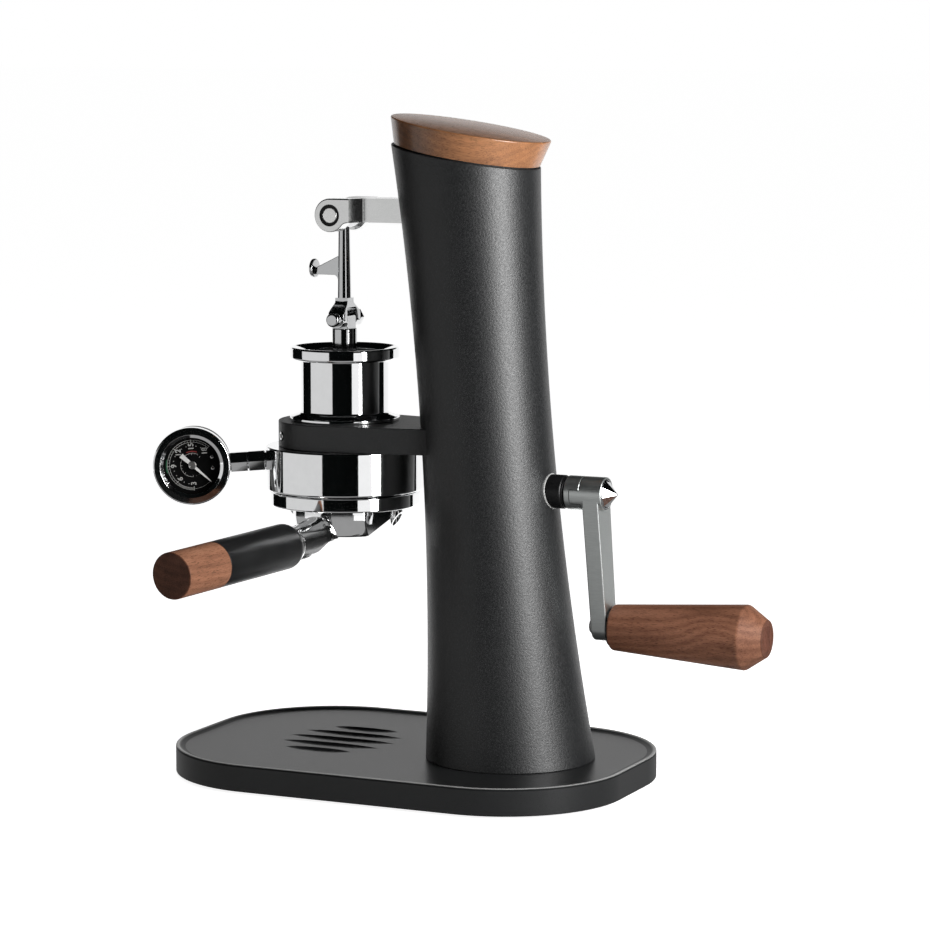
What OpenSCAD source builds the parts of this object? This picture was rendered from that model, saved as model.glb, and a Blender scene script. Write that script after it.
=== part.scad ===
// Hand-cranked espresso maker: a leaning tower on a tray. The crank turns a lead screw, the screw
// draws a press arm down, and the arm drives a piston through the brew cylinder over the group.
// Origin on the counter under the middle of the tray. +X is the crank side, -Y the user, +Z up.

/* [Base tray] */
// Length of the tray, along X
base_l = 262; // [250:1:290]
// Width of the tray, along Y
base_w = 176; // [164:1:200]
// Corner radius of the tray
base_r = 68; // [56:1:74]
// Height of the tray's side
base_h = 15; // [13:0.5:20]
// How far the feet stand below the tray
foot_h = 1.5; // [1:0.1:3]
// Radius of a foot
foot_r = 9; // [6:0.5:12]
// Width of the flat lip round the rim
lip_w = 1.2; // [0.6:0.1:3]
// Width of the sloping band inside the lip
rim_w = 9; // [5:0.5:14]
// Depth of the deck below the rim
rim_drop = 1.4; // [0.8:0.1:2.5]
// Thickness of the deck
deck_t = 4.5; // [4:0.1:6]
// Thickness of the tray's side wall
base_wall = 5; // [4:0.5:8]
// Thickness of the base cover
cover_t = 1.5; // [1:0.1:2]
// Length of the longest drain groove
groove_l = 67; // [50:1:76]
// Half width of the grooved patch across the grooves
groove_patch = 38; // [34:1:44]
// Spacing of the drain grooves
groove_pitch = 15; // [12:0.5:16]
// Depth of a drain groove
groove_depth = 2; // [1:0.1:2.5]
// Radius of a groove's round section
groove_r = 8.6; // [7:0.1:10]

/* [Tower] */
// Distance of the tower's axis from the crank end of the tray, at the deck
tower_inset = 73.5; // [66:0.5:84]
// Height of the cap's underside above the deck, on the tower's axis
tower_h = 329; // [324:0.5:340]
// Lean of the tower towards the brew side, in degrees
tower_lean = 4.5; // [3.5:0.1:5.5]
// Radius of the tower at its waist
waist_r = 35.7; // [35:0.1:38]
// Height of the waist along the tower's axis
waist_h = 202; // [190:1:214]
// Radius of the arc that flares the tower above and below its waist
flare_r = 1900; // [1600:10:2400]
// Thickness of the tower's wall
tower_wall = 3; // [2:0.1:3.4]
// Height of the foot ring inside the tower
foot_ring_h = 7; // [6:0.5:10]
// Width of the foot ring inside the tower
foot_ring_w = 11; // [10:0.5:14]

/* [Cap] */
// Slope of the cap, falling towards the crank, in degrees
cap_tilt = 9.7; // [8:0.1:11]
// Thickness of the wooden cap at its edge
cap_t = 14.5; // [11:0.5:18]
// Radius of the cap's underside
cap_r = 39.4; // [38.6:0.1:40.5]
// Radius of the cap's top edge
cap_top_r = 43.3; // [41:0.1:46]
// Rise of the cap's crowned top
cap_crown = 1.4; // [0.6:0.1:3]
// Shadow gap between tower and cap
cap_gap = 1.2; // [0.8:0.1:2]
// Thickness of the cap plate inside the tower
cap_plate_t = 4; // [3.4:0.1:4.6]

/* [Group] */
// Distance from the lead screw to the brew axis
reach = 77; // [74:0.5:80]
// Height of the group bracket's underside above the counter
bracket_z = 182.3; // [180:0.1:185]
// Thickness of the group bracket
bracket_t = 14.3; // [12:0.1:16]
// Radius of the bracket's ring
bracket_r = 36.8; // [34:0.1:40]
// Width of the bracket where it meets the tower
web_w = 52; // [46:1:56]
// Width of the bracket's tenon inside the tower
tenon_w = 40; // [36:1:42]
// Bore of the brew cylinder, as a radius
bore_r = 22; // [21:0.1:22.6]
// Wall of the brew cylinder
cyl_wall = 2.2; // [1.8:0.1:3]
// Height of the cylinder above the bracket
cyl_h = 40.6; // [38:0.1:42]
// Radius of the cylinder's mouth flange
mouth_r = 30.2; // [28:0.1:33]
// Height of the cylinder's mouth flange
mouth_h = 6.9; // [5:0.1:9]
// Radius of the cylinder's seat flange
seat_r = 30.5; // [28:0.1:33]
// Height of the cylinder's seat flange
seat_h = 3.6; // [3:0.1:6]
// Radius of the group ring
group_r = 44; // [43:0.1:46]
// Height of the group ring
group_h = 24; // [23:0.1:26]
// Thickness of the group ring's top
group_top_t = 6; // [5:0.1:6.5]
// Height of the group gasket
gasket_h = 4; // [3.4:0.1:4.4]
// Depth of the bayonet groove
bayonet_h = 5.4; // [5:0.1:5.8]
// Height of the lip below the bayonet groove
bayonet_lip = 5.7; // [5:0.1:6.2]

/* [Press] */
// Height of the knuckle bolt above the cylinder's mouth
knuckle_rise = 15.5; // [14:0.1:17]
// Length of the link rod between its pivots
link_l = 57.6; // [55:0.1:60]
// Radius of the link rod
link_r = 3; // [2.4:0.1:3.6]
// Width of the press arm's fork
fork_w = 36; // [34:0.5:37]
// Gap between the fork's cheeks
fork_gap = 20; // [17:0.5:22]
// Radius of the fork's round end
fork_r = 9.2; // [8.6:0.1:10]
// Thickness of the press arm's bar, along Y
bar_w = 16; // [13:0.5:17]
// Height of the press arm's bar
bar_h = 13.1; // [11:0.1:14]
// Height of the bar's top above the arm pin
bar_rise = 9.2; // [8:0.1:9.8]
// Radius of the arm pin
pin_r = 4.8; // [4:0.1:5.4]
// Radius of the piston stem
stem_r = 6.9; // [6.2:0.1:7.4]
// Radius of the knuckle bolt
bolt_r = 3; // [2.5:0.1:3.5]
// Thickness of the piston
piston_t = 14; // [12:0.5:15]
// Depth of the piston's top below the cylinder's mouth, at rest
piston_sink = 3.2; // [2.6:0.1:3.6]
// Radius of the thumb button
thumb_r = 5.2; // [4:0.1:5.4]
// Reach of the thumb button from the link rod's axis
thumb_reach = 19.5; // [17:0.1:20]
// Travel of the press below rest
travel_down = 42; // [30:1:43]
// Travel of the press above rest
travel_up = 18; // [8:1:18]

/* [Drive] */
// Drop of the crank's axis below the bracket's underside
crank_drop = 18.9; // [17:0.1:21]
// Distance from the tower's axis to the lead screw, at the crank's height
screw_off = 11.8; // [10:0.1:14]
// Radius of the lead screw
screw_r = 6; // [5:0.1:6.5]
// Radius of a guide rod
guide_r = 4; // [3:0.1:4.5]
// Distance of a guide rod from the lead screw
guide_off = 19; // [18:0.1:20]
// Pitch radius of the mitre gears
gear_r = 10; // [9.6:0.1:10.4]
// Teeth on each mitre gear
gear_n = 16; // [14:1:16]
// Thickness of the gear frame's plate
frame_t = 7; // [6:0.1:7.5]
// Radius of the crank shaft
shaft_r = 5; // [4.6:0.1:5.4]

/* [Crank] */
// Radius of the crank's hub, bushing and coupling
hub_r = 9.2; // [8.6:0.1:10]
// How far the bushing stands out of the tower
bush_out = 9.4; // [7:0.1:12]
// Length of the crank's hub behind its teeth
hub_l = 12.6; // [11:0.1:15]
// Length of the coupling's teeth
dog_l = 5.8; // [4:0.1:7]
// Width of a coupling tooth
dog_w = 7.4; // [6:0.1:8]
// Radius from the crank's axis to the handle's axis
crank_r = 75.4; // [66:0.1:84]
// Swing of the crank from straight down, away from the user, in degrees
crank_swing = 9.6; // [0:0.1:15]
// Thickness of the crank's bar, along X
crank_bar_t = 9.4; // [8:0.1:11]
// Radius of the crank bar's lower end
crank_end_r = 7.6; // [6.6:0.1:9]
// Height of the conical crank screw's point
cone_h = 5.8; // [4:0.1:8]
// Radius of the handle's spindle
spindle_r = 4; // [3.4:0.1:4.6]
// Length of the wooden handle
handle_l = 88; // [70:0.5:105]
// Radius of the handle at its root
handle_root_r = 12.5; // [11:0.1:15]
// Greatest radius of the handle
handle_r = 17.7; // [15:0.1:20]
// Radius of the handle's flat end
handle_end_r = 10; // [9:0.1:12]
// Length of the handle's chamfered end
handle_nose = 11.5; // [9:0.1:16]

/* [Portafilter] */
// Turn of the grip from the user's side towards the brew side, in degrees
grip_yaw = 7.5; // [0:0.1:12]
// Fall of the grip, in degrees
grip_fall = 1.6; // [0:0.1:3]
// Drop of the grip's axis at the brew axis, below the bracket's underside
grip_drop = 47.9; // [46.5:0.1:49.5]
// Radius of the portafilter's rim
rim_r = 41.9; // [41:0.1:43]
// Height of the portafilter's rim
rim_h = 7.8; // [7:0.1:8.6]
// Gap between the portafilter's rim and the group ring
rim_gap = 0.9; // [0.6:0.1:1.2]
// Outer radius of the portafilter's bowl, inside the group ring
bowl_r = 34.6; // [33.8:0.1:34.8]
// Inner radius of the portafilter's bowl
bowl_in_r = 30.2; // [29.6:0.1:30.8]
// Radius of the keel below the rim
keel_r = 26.4; // [25:0.1:28]
// Depth of the keel
keel_h = 15.2; // [13.5:0.1:16]
// Distance from the brew axis to an outlet nozzle
nozzle_off = 34.5; // [33:0.1:36]
// Length of an outlet nozzle
nozzle_l = 11; // [7:0.1:12]
// Distance from the brew axis to the grip's root
grip_root = 55.4; // [50:0.1:60]
// Length of the black grip sleeve
sleeve_l = 68.6; // [50:0.1:85]
// Length of the wooden grip end
grip_end_l = 36; // [24:0.1:48]
// Radius of the grip
grip_r = 12.5; // [11:0.1:13.4]
// Radius of the grip's tie rod
tie_r = 4; // [3:0.1:5]
// Turn that frees the portafilter, in degrees
lock_turn = 45; // [40:1:50]

/* [Gauge] */
// Turn of the gauge from the brew side towards the user, in degrees
gauge_yaw = 25; // [18:0.5:32]
// Sag of the gauge on its stem, in degrees
gauge_sag = 4; // [0:0.1:5]
// Drop of the gauge's stem below the group ring's top
gauge_drop = 8.1; // [7.4:0.1:9]
// Distance from the group ring to the gauge's middle
gauge_out = 40.7; // [36:0.1:48]
// Radius of the gauge's bezel
gauge_r = 21.5; // [18:0.1:24]
// Radius of the gauge's stem
gauge_stem_r = 5.5; // [4.6:0.1:6]
// Depth of the gauge's case behind its dial
gauge_depth = 14; // [12:0.1:18]

/* [Fits] */
// Clearance of running fits, on the radius
fit_run = 0.05; // [0.03:0.01:0.08]
// Clearance of parts that are bolted or screwed together
fit_loose = 0.2; // [0.1:0.05:0.3]
// Clearance between parts that move past each other
fit_pass = 0.4; // [0.3:0.05:0.6]

/* [Hidden] */
$fn = 72;
eps = 0.01;
big = 600;

rim_z = foot_h + base_h;
deck_z = rim_z - rim_drop;
deck_low = deck_z - deck_t;
cover_z = foot_h + cover_t;
tower_x = base_l / 2 - tower_inset;
cap_z = deck_z + tower_h;

// Place of the leaning tower's axis and its outer radius at a height above the counter
function axis_x(z) = tower_x - (z - deck_z) * tan(tower_lean);
function flare(h) = waist_r + pow(h - waist_h, 2) / (2 * flare_r);
function tower_r(z) = flare((z - deck_z) / cos(tower_lean));

cap_x = axis_x(cap_z);
// Height of the cap's underside over a place along X
function cap_plane(x) = cap_z - (x - cap_x) * tan(cap_tilt);

crank_z = bracket_z - crank_drop;
grip_z = bracket_z - grip_drop;
screw_x = axis_x(crank_z) - screw_off;
group_x = screw_x - reach;

// Brew stack
bracket_top = bracket_z + bracket_t;
mouth_z = bracket_top + cyl_h;
cyl_r = bore_r + cyl_wall;
group_low = bracket_z - group_h;
group_cave = bracket_z - group_top_t;
gasket_low = group_cave - gasket_h;
groove_low = group_low + bayonet_lip;
knuckle_z = mouth_z + knuckle_rise;
pin_z = knuckle_z + link_l;
piston_top = mouth_z - piston_sink;
piston_low = piston_top - piston_t;
piston_r = bore_r - fit_pass;

// Press arm and carriage
bar_top = pin_z + bar_rise;
bar_low = bar_top - bar_h;
stem_gap = stem_r + fit_pass;
yoke_t = 4.6;
yoke_out = stem_gap + yoke_t;
nut_r = screw_r + 2;
carriage_front_t = 6;
carriage_back_t = 4;
carriage_rise = 1.4;
guide_wall = 6;
arm_screw_inset = 6;
carriage_front = screw_x - nut_r - carriage_front_t;
carriage_back = screw_x + nut_r + carriage_back_t;
carriage_h = 22;
carriage_top = bar_low + carriage_rise;
carriage_low = carriage_top - carriage_h;
carriage_w = 2 * (guide_off + guide_wall);
arm_back_t = 10.5;
arm_screw_z = [carriage_low + arm_screw_inset, carriage_top - arm_screw_inset];
arm_screw_r = 2.5;

// Gear frame
frame_top = bracket_z;
frame_low = frame_top - frame_t;
frame_ledge = 4;
ledge_low = frame_low - frame_ledge;
cave_r = tower_r(frame_top) - tower_wall;
leg_x = screw_x + 22;
leg_t = 6;
leg_w = 26;
shelf_t = 6;
shelf_top = crank_z - gear_r - 6;
shelf_low = shelf_top - shelf_t;
gear_face = 3.4;
gear_hub_r = 7;
journal_r = screw_r - 1.5;
shaft_end_r = shaft_r - 1.6;
boss_low = carriage_top + travel_up + 2;

// Crank
wall_x = axis_x(crank_z) + tower_r(crank_z);
bush_end = wall_x + bush_out;
ring_x = bush_end + 0.8;
ring_t = 3.3;
dog_x = ring_x + ring_t;
hub_x = dog_x + dog_l;
hub_end = hub_x + hub_l;
bar_x = hub_end - 1.8 - crank_bar_t;
bar_face = bar_x + crank_bar_t;
washer_t = 1.4;
handle_x = bar_face + washer_t;
handle_end = handle_x + handle_l;
plug_t = 4;
plug_r = 7;
nut_t = 5;
head_out = 4.4;
nose_x = handle_end - handle_nose;

// Portafilter
rim_top = group_low - rim_gap;
rim_low = rim_top - rim_h;
floor_t = 2.8;
floor_z = rim_low + floor_t;
basket_rim_t = 0.8;
bowl_top = gasket_low - 0.3 - basket_rim_t;
lug_reach = 4;
lug_low = groove_low + 0.6;
lug_h = bayonet_h - 1.2;
lug_r = bowl_r + lug_reach;
cave_in_r = bowl_r + 0.6;
groove_out_r = lug_r + 0.6;
basket_t = 0.7;
basket_r = bowl_in_r - 0.6;
neck_start = 25.5;
neck_root_r = 11.2;
neck_end_r = 7.8;
ferrule_t = 2.6;
keel_flat = 14;

// Gauge
bezel_front = 9;
dial_y = 1.6;
case_r = gauge_r - 1.2;
glass_y = 6.8;
dial_r = gauge_r - 3.4;

// Shared shapes

module tube(r_out, r_in, h) {
  difference() {
    cylinder(r = r_out, h = h);
    translate([0, 0, -eps]) cylinder(r = r_in, h = h + 2 * eps);
  }
}

// Cylinder along +X, from x0 to x1
module rod_x(r, x0, x1) {
  translate([x0, 0, 0]) rotate([0, 90, 0]) cylinder(r = r, h = x1 - x0);
}

// Cylinder along +Y, from y0 to y1
module rod_y(r, y0, y1) {
  translate([0, y0, 0]) rotate([-90, 0, 0]) cylinder(r = r, h = y1 - y0);
}

// Box with rounded upright corners, standing on z = 0
module rounded_box(l, w, r, h) {
  union() {
    translate([-l / 2 + r, -w / 2, 0]) cube([l - 2 * r, w, h]);
    translate([-l / 2, -w / 2 + r, 0]) cube([l, w - 2 * r, h]);
    for (sx = [-1, 1], sy = [-1, 1])
      translate([sx * (l / 2 - r), sy * (w / 2 - r), 0]) cylinder(r = r, h = h);
  }
}

// The same box, growing outwards on all sides towards its top
module rounded_taper(l, w, r, h, grow) {
  union() {
    rotate([90, 0, 90]) linear_extrude(l - 2 * r, center = true)
      polygon([[-w / 2, 0], [w / 2, 0], [w / 2 + grow, h], [-w / 2 - grow, h]]);
    rotate([90, 0, 0]) linear_extrude(w - 2 * r, center = true)
      polygon([[-l / 2, 0], [l / 2, 0], [l / 2 + grow, h], [-l / 2 - grow, h]]);
    for (sx = [-1, 1], sy = [-1, 1])
      translate([sx * (l / 2 - r), sy * (w / 2 - r), 0]) cylinder(r1 = r, r2 = r + grow, h = h);
  }
}

// Screw with a flat round head, head underside at z = 0, shank downwards
module screw(shank_r, shank_l, head_r, head_h) {
  difference() {
    union() {
      cylinder(r = head_r, h = head_h);
      translate([0, 0, -shank_l]) cylinder(r = shank_r, h = shank_l);
    }
    translate([0, 0, head_h / 2]) cylinder(r = head_r * 0.55, h = head_h, $fn = 6);
  }
}

// The tower's form, shrunk by an inset, between two heights along its axis
module tower_form(inset, h0, h1) {
  steps = 26;
  wall = [for (i = [0:steps]) let (h = h0 + (h1 - h0) * i / steps) [flare(h) - inset, h]];
  translate([tower_x, 0, deck_z]) rotate([0, -tower_lean, 0])
    rotate_extrude($fn = 96) polygon(concat([[0, h0]], wall, [[0, h1]]));
}

module cap_frame() {
  translate([cap_x, 0, cap_z]) rotate([0, cap_tilt, 0]) children();
}

module crank_frame() {
  translate([0, 0, crank_z]) rotate([crank_swing, 0, 0]) children();
}

module handle_frame() {
  crank_frame() translate([0, 0, -crank_r]) children();
}

module brew_frame(z) {
  translate([group_x, 0, z]) children();
}

// Along the grip: +X points away from the brew axis
module grip_frame() {
  brew_frame(grip_z) rotate([0, 0, 270 - grip_yaw]) rotate([0, grip_fall, 0]) children();
}

// Across the portafilter: +X points along the grip, but level
module bowl_frame() {
  brew_frame(0) rotate([0, 0, 270 - grip_yaw]) children();
}

// On the gauge: +X points away from the group ring along the stem, +Y out of the dial
module gauge_frame() {
  brew_frame(bracket_z - gauge_drop) rotate([0, 0, 180 + gauge_yaw]) translate([group_r, 0, 0])
    rotate([0, gauge_sag, 0]) children();
}

module gauge_middle() {
  gauge_frame() translate([gauge_out, 0, 0]) children();
}

// Mitre gear on z = 0 with its apex on the axis at z = gear_r, teeth towards the apex
module mitre_gear(bore, turn) {
  tooth_r = gear_r * 0.085;
  root = tooth_r * 1.75;
  slant = gear_r * sqrt(2);
  tooth_l = gear_face * sqrt(2);
  difference() {
    union() {
      cylinder(r1 = gear_r - root, r2 = gear_r - gear_face - root, h = gear_face);
      translate([0, 0, -5]) cylinder(r = gear_hub_r, h = 5 + eps);
      translate([0, 0, -1]) cylinder(r = gear_r - root, h = 1 + eps);
      for (i = [0:gear_n - 1]) rotate([0, 0, turn + i * 360 / gear_n]) translate([gear_r, 0, 0])
        rotate([0, -45, 0]) {
          cylinder(r1 = tooth_r, r2 = tooth_r * (slant - tooth_l) / slant, h = tooth_l, $fn = 24);
          translate([-2 * tooth_r, -tooth_r / 2, 0.4]) cube([2 * tooth_r, tooth_r, tooth_l - 0.8]);
        }
    }
    translate([0, 0, -6]) cylinder(r = bore, h = gear_r + 6);
  }
}

// Base

cover_l = base_l - 2 * base_wall;
cover_w = base_w - 2 * base_wall;
cover_r = base_r - base_wall;
// Places in the tray's four corners, a distance inside the cover's edge and a turn round the corner
function corner_xy(inset, turn) = [for (sx = [-1, 1], sy = [-1, 1])
  [sx * (base_l / 2 - base_r + (cover_r - inset) * cos(turn)),
   sy * (base_w / 2 - base_r + (cover_r - inset) * sin(turn))]];
cover_screw_xy = corner_xy(6.1, 71.6);
foot_xy = corner_xy(foot_r + 2.8, 51.3);
tower_thread_r = 2.5;
tower_screw_head_r = 4.2;
tower_screw_head_h = 3;
tower_screw_bite = 5;
tower_screw_r = tower_r(deck_z) - tower_wall - foot_ring_w / 2;
tower_screw_xy = [for (a = [45:90:315]) [tower_x + tower_screw_r * cos(a), tower_screw_r * sin(a)]];

module base_tray() {
  color("dimgray") difference() {
    translate([0, 0, foot_h]) rounded_box(base_l, base_w, base_r, base_h);
    translate([0, 0, deck_z]) rounded_taper(base_l - 2 * (lip_w + rim_w), base_w - 2 * (lip_w + rim_w),
      base_r - lip_w - rim_w, rim_drop, rim_w);
    translate([0, 0, rim_z - eps]) rounded_box(base_l - 2 * lip_w, base_w - 2 * lip_w, base_r - lip_w, 1);
    difference() {
      translate([0, 0, foot_h - eps]) rounded_box(cover_l, cover_w, cover_r, deck_low - foot_h + eps);
      translate([tower_x, 0, cover_z]) cylinder(r = tower_r(deck_z) + 4, h = base_h);
      for (p = cover_screw_xy) translate([p[0], p[1], cover_z]) cylinder(r = 5, h = base_h);
    }
    for (p = cover_screw_xy) translate([p[0], p[1], cover_z - eps]) cylinder(r = 1.6 + fit_run, h = 6);
    for (p = tower_screw_xy) translate([p[0], p[1], 0]) {
      cylinder(r = tower_thread_r + fit_loose, h = base_h + foot_h);
      cylinder(r = tower_screw_head_r + 0.4, h = deck_low);
    }
    drain_grooves();
  }
}

module drain_grooves() {
  for (i = [-2:2]) {
    y = i * groove_pitch;
    len = groove_l * sqrt(1 - pow(y / groove_patch, 2));
    cut_r = pow(len / 2, 2) / (2 * groove_depth) + groove_depth / 2;
    translate([group_x - 3.5, y + 2, deck_z - groove_depth + cut_r]) rotate([90, 0, 0])
      rotate_extrude($fn = 180) translate([cut_r - groove_r, 0]) circle(r = groove_r, $fn = 48);
  }
}

module base_cover() {
  color("gray") difference() {
    translate([0, 0, foot_h]) rounded_box(cover_l - 2 * fit_loose, cover_w - 2 * fit_loose,
      cover_r - fit_loose, cover_t);
    for (p = cover_screw_xy) translate([p[0], p[1], foot_h - eps])
      cylinder(r = 1.6 + fit_loose, h = cover_t + 2 * eps);
    for (p = foot_xy) translate([p[0], p[1], foot_h - eps])
      cylinder(r = foot_r - 3, h = cover_t + 2 * eps);
  }
}

module cover_screws() {
  color("silver") for (p = cover_screw_xy) translate([p[0], p[1], foot_h]) mirror([0, 0, 1])
    screw(1.6, cover_t + 4, 3, foot_h * 0.6);
}

// Each foot has a plug that snaps through the cover
module rubber_feet() {
  color("black") for (p = foot_xy) translate([p[0], p[1], 0]) {
    cylinder(r = foot_r, h = foot_h);
    cylinder(r = foot_r - 3 - fit_run, h = foot_h + cover_t + 1);
  }
}

// Tower

module below_cap() {
  cap_frame() translate([-big / 2, -big / 2, -big - cap_gap]) cube([big, big, big]);
}

slot_w = bar_w + 3;
slot_low = bar_low - travel_down - 3;
slot_top = bar_top + travel_up + 3;

module tower_shell() {
  color("#26282a") difference() {
    intersection() {
      tower_form(0, -12, tower_h + 30);
      translate([-big / 2, -big / 2, deck_z]) cube([big, big, big]);
      below_cap();
    }
    difference() {
      tower_form(tower_wall, -14, tower_h + 32);
      difference() {
        translate([-big / 2, -big / 2, 0]) cube([big, big, deck_z + foot_ring_h]);
        translate([tower_x, 0, -eps]) cylinder(r = tower_r(deck_z) - tower_wall - foot_ring_w, h = big);
      }
      difference() {
        translate([-big / 2, -big / 2, ledge_low]) cube([big, big, frame_ledge]);
        translate([axis_x(ledge_low), 0, 0]) cylinder(r = cave_r - 5, h = big);
      }
    }
    translate([axis_x(pin_z) - 60, -slot_w / 2, slot_low]) cube([60, slot_w, slot_top - slot_low]);
    translate([axis_x(bracket_z) - 60, -tenon_w / 2 - fit_loose, bracket_z - fit_loose])
      cube([60, tenon_w + 2 * fit_loose, bracket_t + 2 * fit_loose]);
    translate([0, 0, crank_z]) rod_x(hub_r + fit_run, axis_x(crank_z), wall_x + 20);
    for (p = tower_screw_xy) translate([p[0], p[1], deck_z - eps])
      cylinder(r = tower_thread_r + fit_run, h = tower_screw_bite + 1);
    for (p = frame_screw_xy) translate([p[0], p[1], ledge_low - 1]) cylinder(r = 1.5 + fit_run, h = 6);
  }
}

module tower_screws() {
  color("silver") for (p = tower_screw_xy) translate([p[0], p[1], deck_low]) mirror([0, 0, 1])
    screw(tower_thread_r, deck_t + tower_screw_bite, tower_screw_head_r, tower_screw_head_h);
}

module tower_cap() {
  crown_r = (pow(cap_top_r, 2) + pow(cap_crown, 2)) / (2 * cap_crown);
  color("#6b4630") difference() {
    cap_frame() intersection() {
      union() {
        cylinder(r1 = cap_r, r2 = cap_top_r, h = cap_t, $fn = 96);
        translate([0, 0, cap_t - eps]) cylinder(r = cap_top_r, h = cap_crown + 1, $fn = 96);
      }
      translate([0, 0, cap_t + cap_crown - crown_r]) sphere(r = crown_r, $fn = 200);
    }
    cap_frame() for (a = cap_screw_turn) rotate([0, 0, a]) translate([cap_screw_off, 0, -eps])
      cylinder(r = cap_thread_r + fit_run, h = cap_screw_bite + 2);
  }
}

plate_r = tower_r(cap_z) - tower_wall - 1.2;
cap_screw_inset = 11.8;
cap_thread_r = 1.6;
cap_screw_head_r = 3;
cap_screw_head_h = 1.6;
cap_screw_bite = 7;
cap_screw_off = plate_r - cap_screw_inset;
cap_screw_turn = [0, 120, 240];

// Plate under the cap: a spigot in the tower, a dark ring in the gap, and upright bosses below
module cap_plate() {
  color("#303234") difference() {
    union() {
      cap_frame() translate([0, 0, -cap_gap - cap_plate_t]) cylinder(r = plate_r, h = cap_plate_t + eps);
      cap_frame() translate([0, 0, -cap_gap]) cylinder(r = cap_r - 1.2, h = cap_gap);
      intersection() {
        union() {
          translate([screw_x, 0, boss_low]) cylinder(r = screw_r + 3, h = 40);
          for (s = [-1, 1]) translate([screw_x, s * guide_off, boss_low]) cylinder(r = guide_r + 3, h = 40);
        }
        below_cap();
      }
    }
    translate([screw_x, 0, boss_low - 1]) cylinder(r = screw_r + 1, h = 6.5);
    for (s = [-1, 1]) translate([screw_x, s * guide_off, boss_low - 1])
      cylinder(r = guide_r + fit_run, h = 7);
    cap_frame() for (a = cap_screw_turn) rotate([0, 0, a])
      translate([cap_screw_off, 0, -cap_gap - cap_plate_t - 1])
      cylinder(r = cap_thread_r + fit_loose, h = cap_screw_bite + 2);
  }
}

module cap_screws() {
  color("silver") cap_frame() for (a = cap_screw_turn) rotate([0, 0, a])
    translate([cap_screw_off, 0, -cap_gap - cap_plate_t]) mirror([0, 0, 1])
    screw(cap_thread_r, cap_gap + cap_plate_t + cap_screw_bite, cap_screw_head_r, cap_screw_head_h);
}

// Gear frame: a disc on the tower's ledge, with a leg and a shelf hanging below it
frame_x = axis_x(frame_top);
frame_r = cave_r - 0.8;
frame_screw_xy = [for (a = [60, 120, 240, 300])
  [frame_x + (frame_r - 3) * cos(a), (frame_r - 3) * sin(a)]];
bracket_screw_xy = [for (s = [-1, 1]) [screw_x - 15.5, s * 12]];

module gear_frame() {
  color("slategray") difference() {
    union() {
      translate([frame_x, 0, frame_low]) cylinder(r = frame_r, h = frame_t);
      translate([leg_x, -leg_w / 2, shelf_low]) cube([leg_t, leg_w, frame_low - shelf_low + eps]);
      translate([screw_x - 11, -leg_w / 2, shelf_low]) cube([leg_x - screw_x + 11 + eps, leg_w, shelf_t]);
    }
    translate([screw_x, 0, frame_low - 1]) cylinder(r = screw_r + 1, h = frame_t + 2);
    translate([screw_x, 0, shelf_low - 1]) cylinder(r = screw_r + 1, h = shelf_t + 2);
    translate([0, 0, crank_z]) rod_x(shaft_r + fit_run, leg_x - 1, leg_x + leg_t + 1);
    for (s = [-1, 1]) translate([screw_x, s * guide_off, frame_low - 1])
      cylinder(r = guide_r + fit_run, h = frame_t + 2);
    for (p = bracket_screw_xy) translate([p[0], p[1], frame_low - 1])
      cylinder(r = 2.5 + fit_run, h = frame_t + 2);
    for (p = frame_screw_xy) translate([p[0], p[1], frame_low - 1])
      cylinder(r = 1.5 + fit_loose, h = frame_t + 2);
  }
}

module frame_screws() {
  color("silver") for (p = frame_screw_xy) translate([p[0], p[1], frame_top])
    screw(1.5, frame_t + frame_ledge - 1, 2.7, 1.8);
}

module guide_rods() {
  color("lightgray") for (s = [-1, 1]) translate([screw_x, s * guide_off, frame_low])
    cylinder(r = guide_r, h = boss_low + 5.5 - frame_low);
}

// Plain bushes for the lead screw: shelf, frame and cap plate
module screw_bushes() {
  color("peru") {
    translate([screw_x, 0, shelf_low]) tube(screw_r + 1 - fit_run, journal_r + fit_run, shelf_t);
    translate([screw_x, 0, frame_low]) tube(screw_r + 1 - fit_run, journal_r + fit_run, frame_t);
    translate([screw_x, 0, boss_low]) tube(screw_r + 1 - fit_run, journal_r + fit_run, 5);
  }
}

module crank_bushing() {
  color("black") translate([0, 0, crank_z]) difference() {
    union() {
      rod_x(hub_r, wall_x - 8, bush_end);
      difference() {
        rod_x(hub_r + 3, wall_x - 12, wall_x - 7);
        translate([wall_x - 13, -big / 2, ledge_low - crank_z - 0.3]) cube([7, big, big]);
      }
    }
    rod_x(shaft_r + fit_run, wall_x - 14, bush_end + 1);
  }
}

module bushing_ring() {
  color("gainsboro") difference() {
    translate([0, 0, crank_z]) rod_x(hub_r + 0.9, wall_x - 4, wall_x + 0.9);
    translate([0, 0, crank_z]) rod_x(hub_r + fit_run, wall_x - 6, wall_x + 4);
    tower_form(-0.05, 100, 200);
  }
}

// Group

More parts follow.
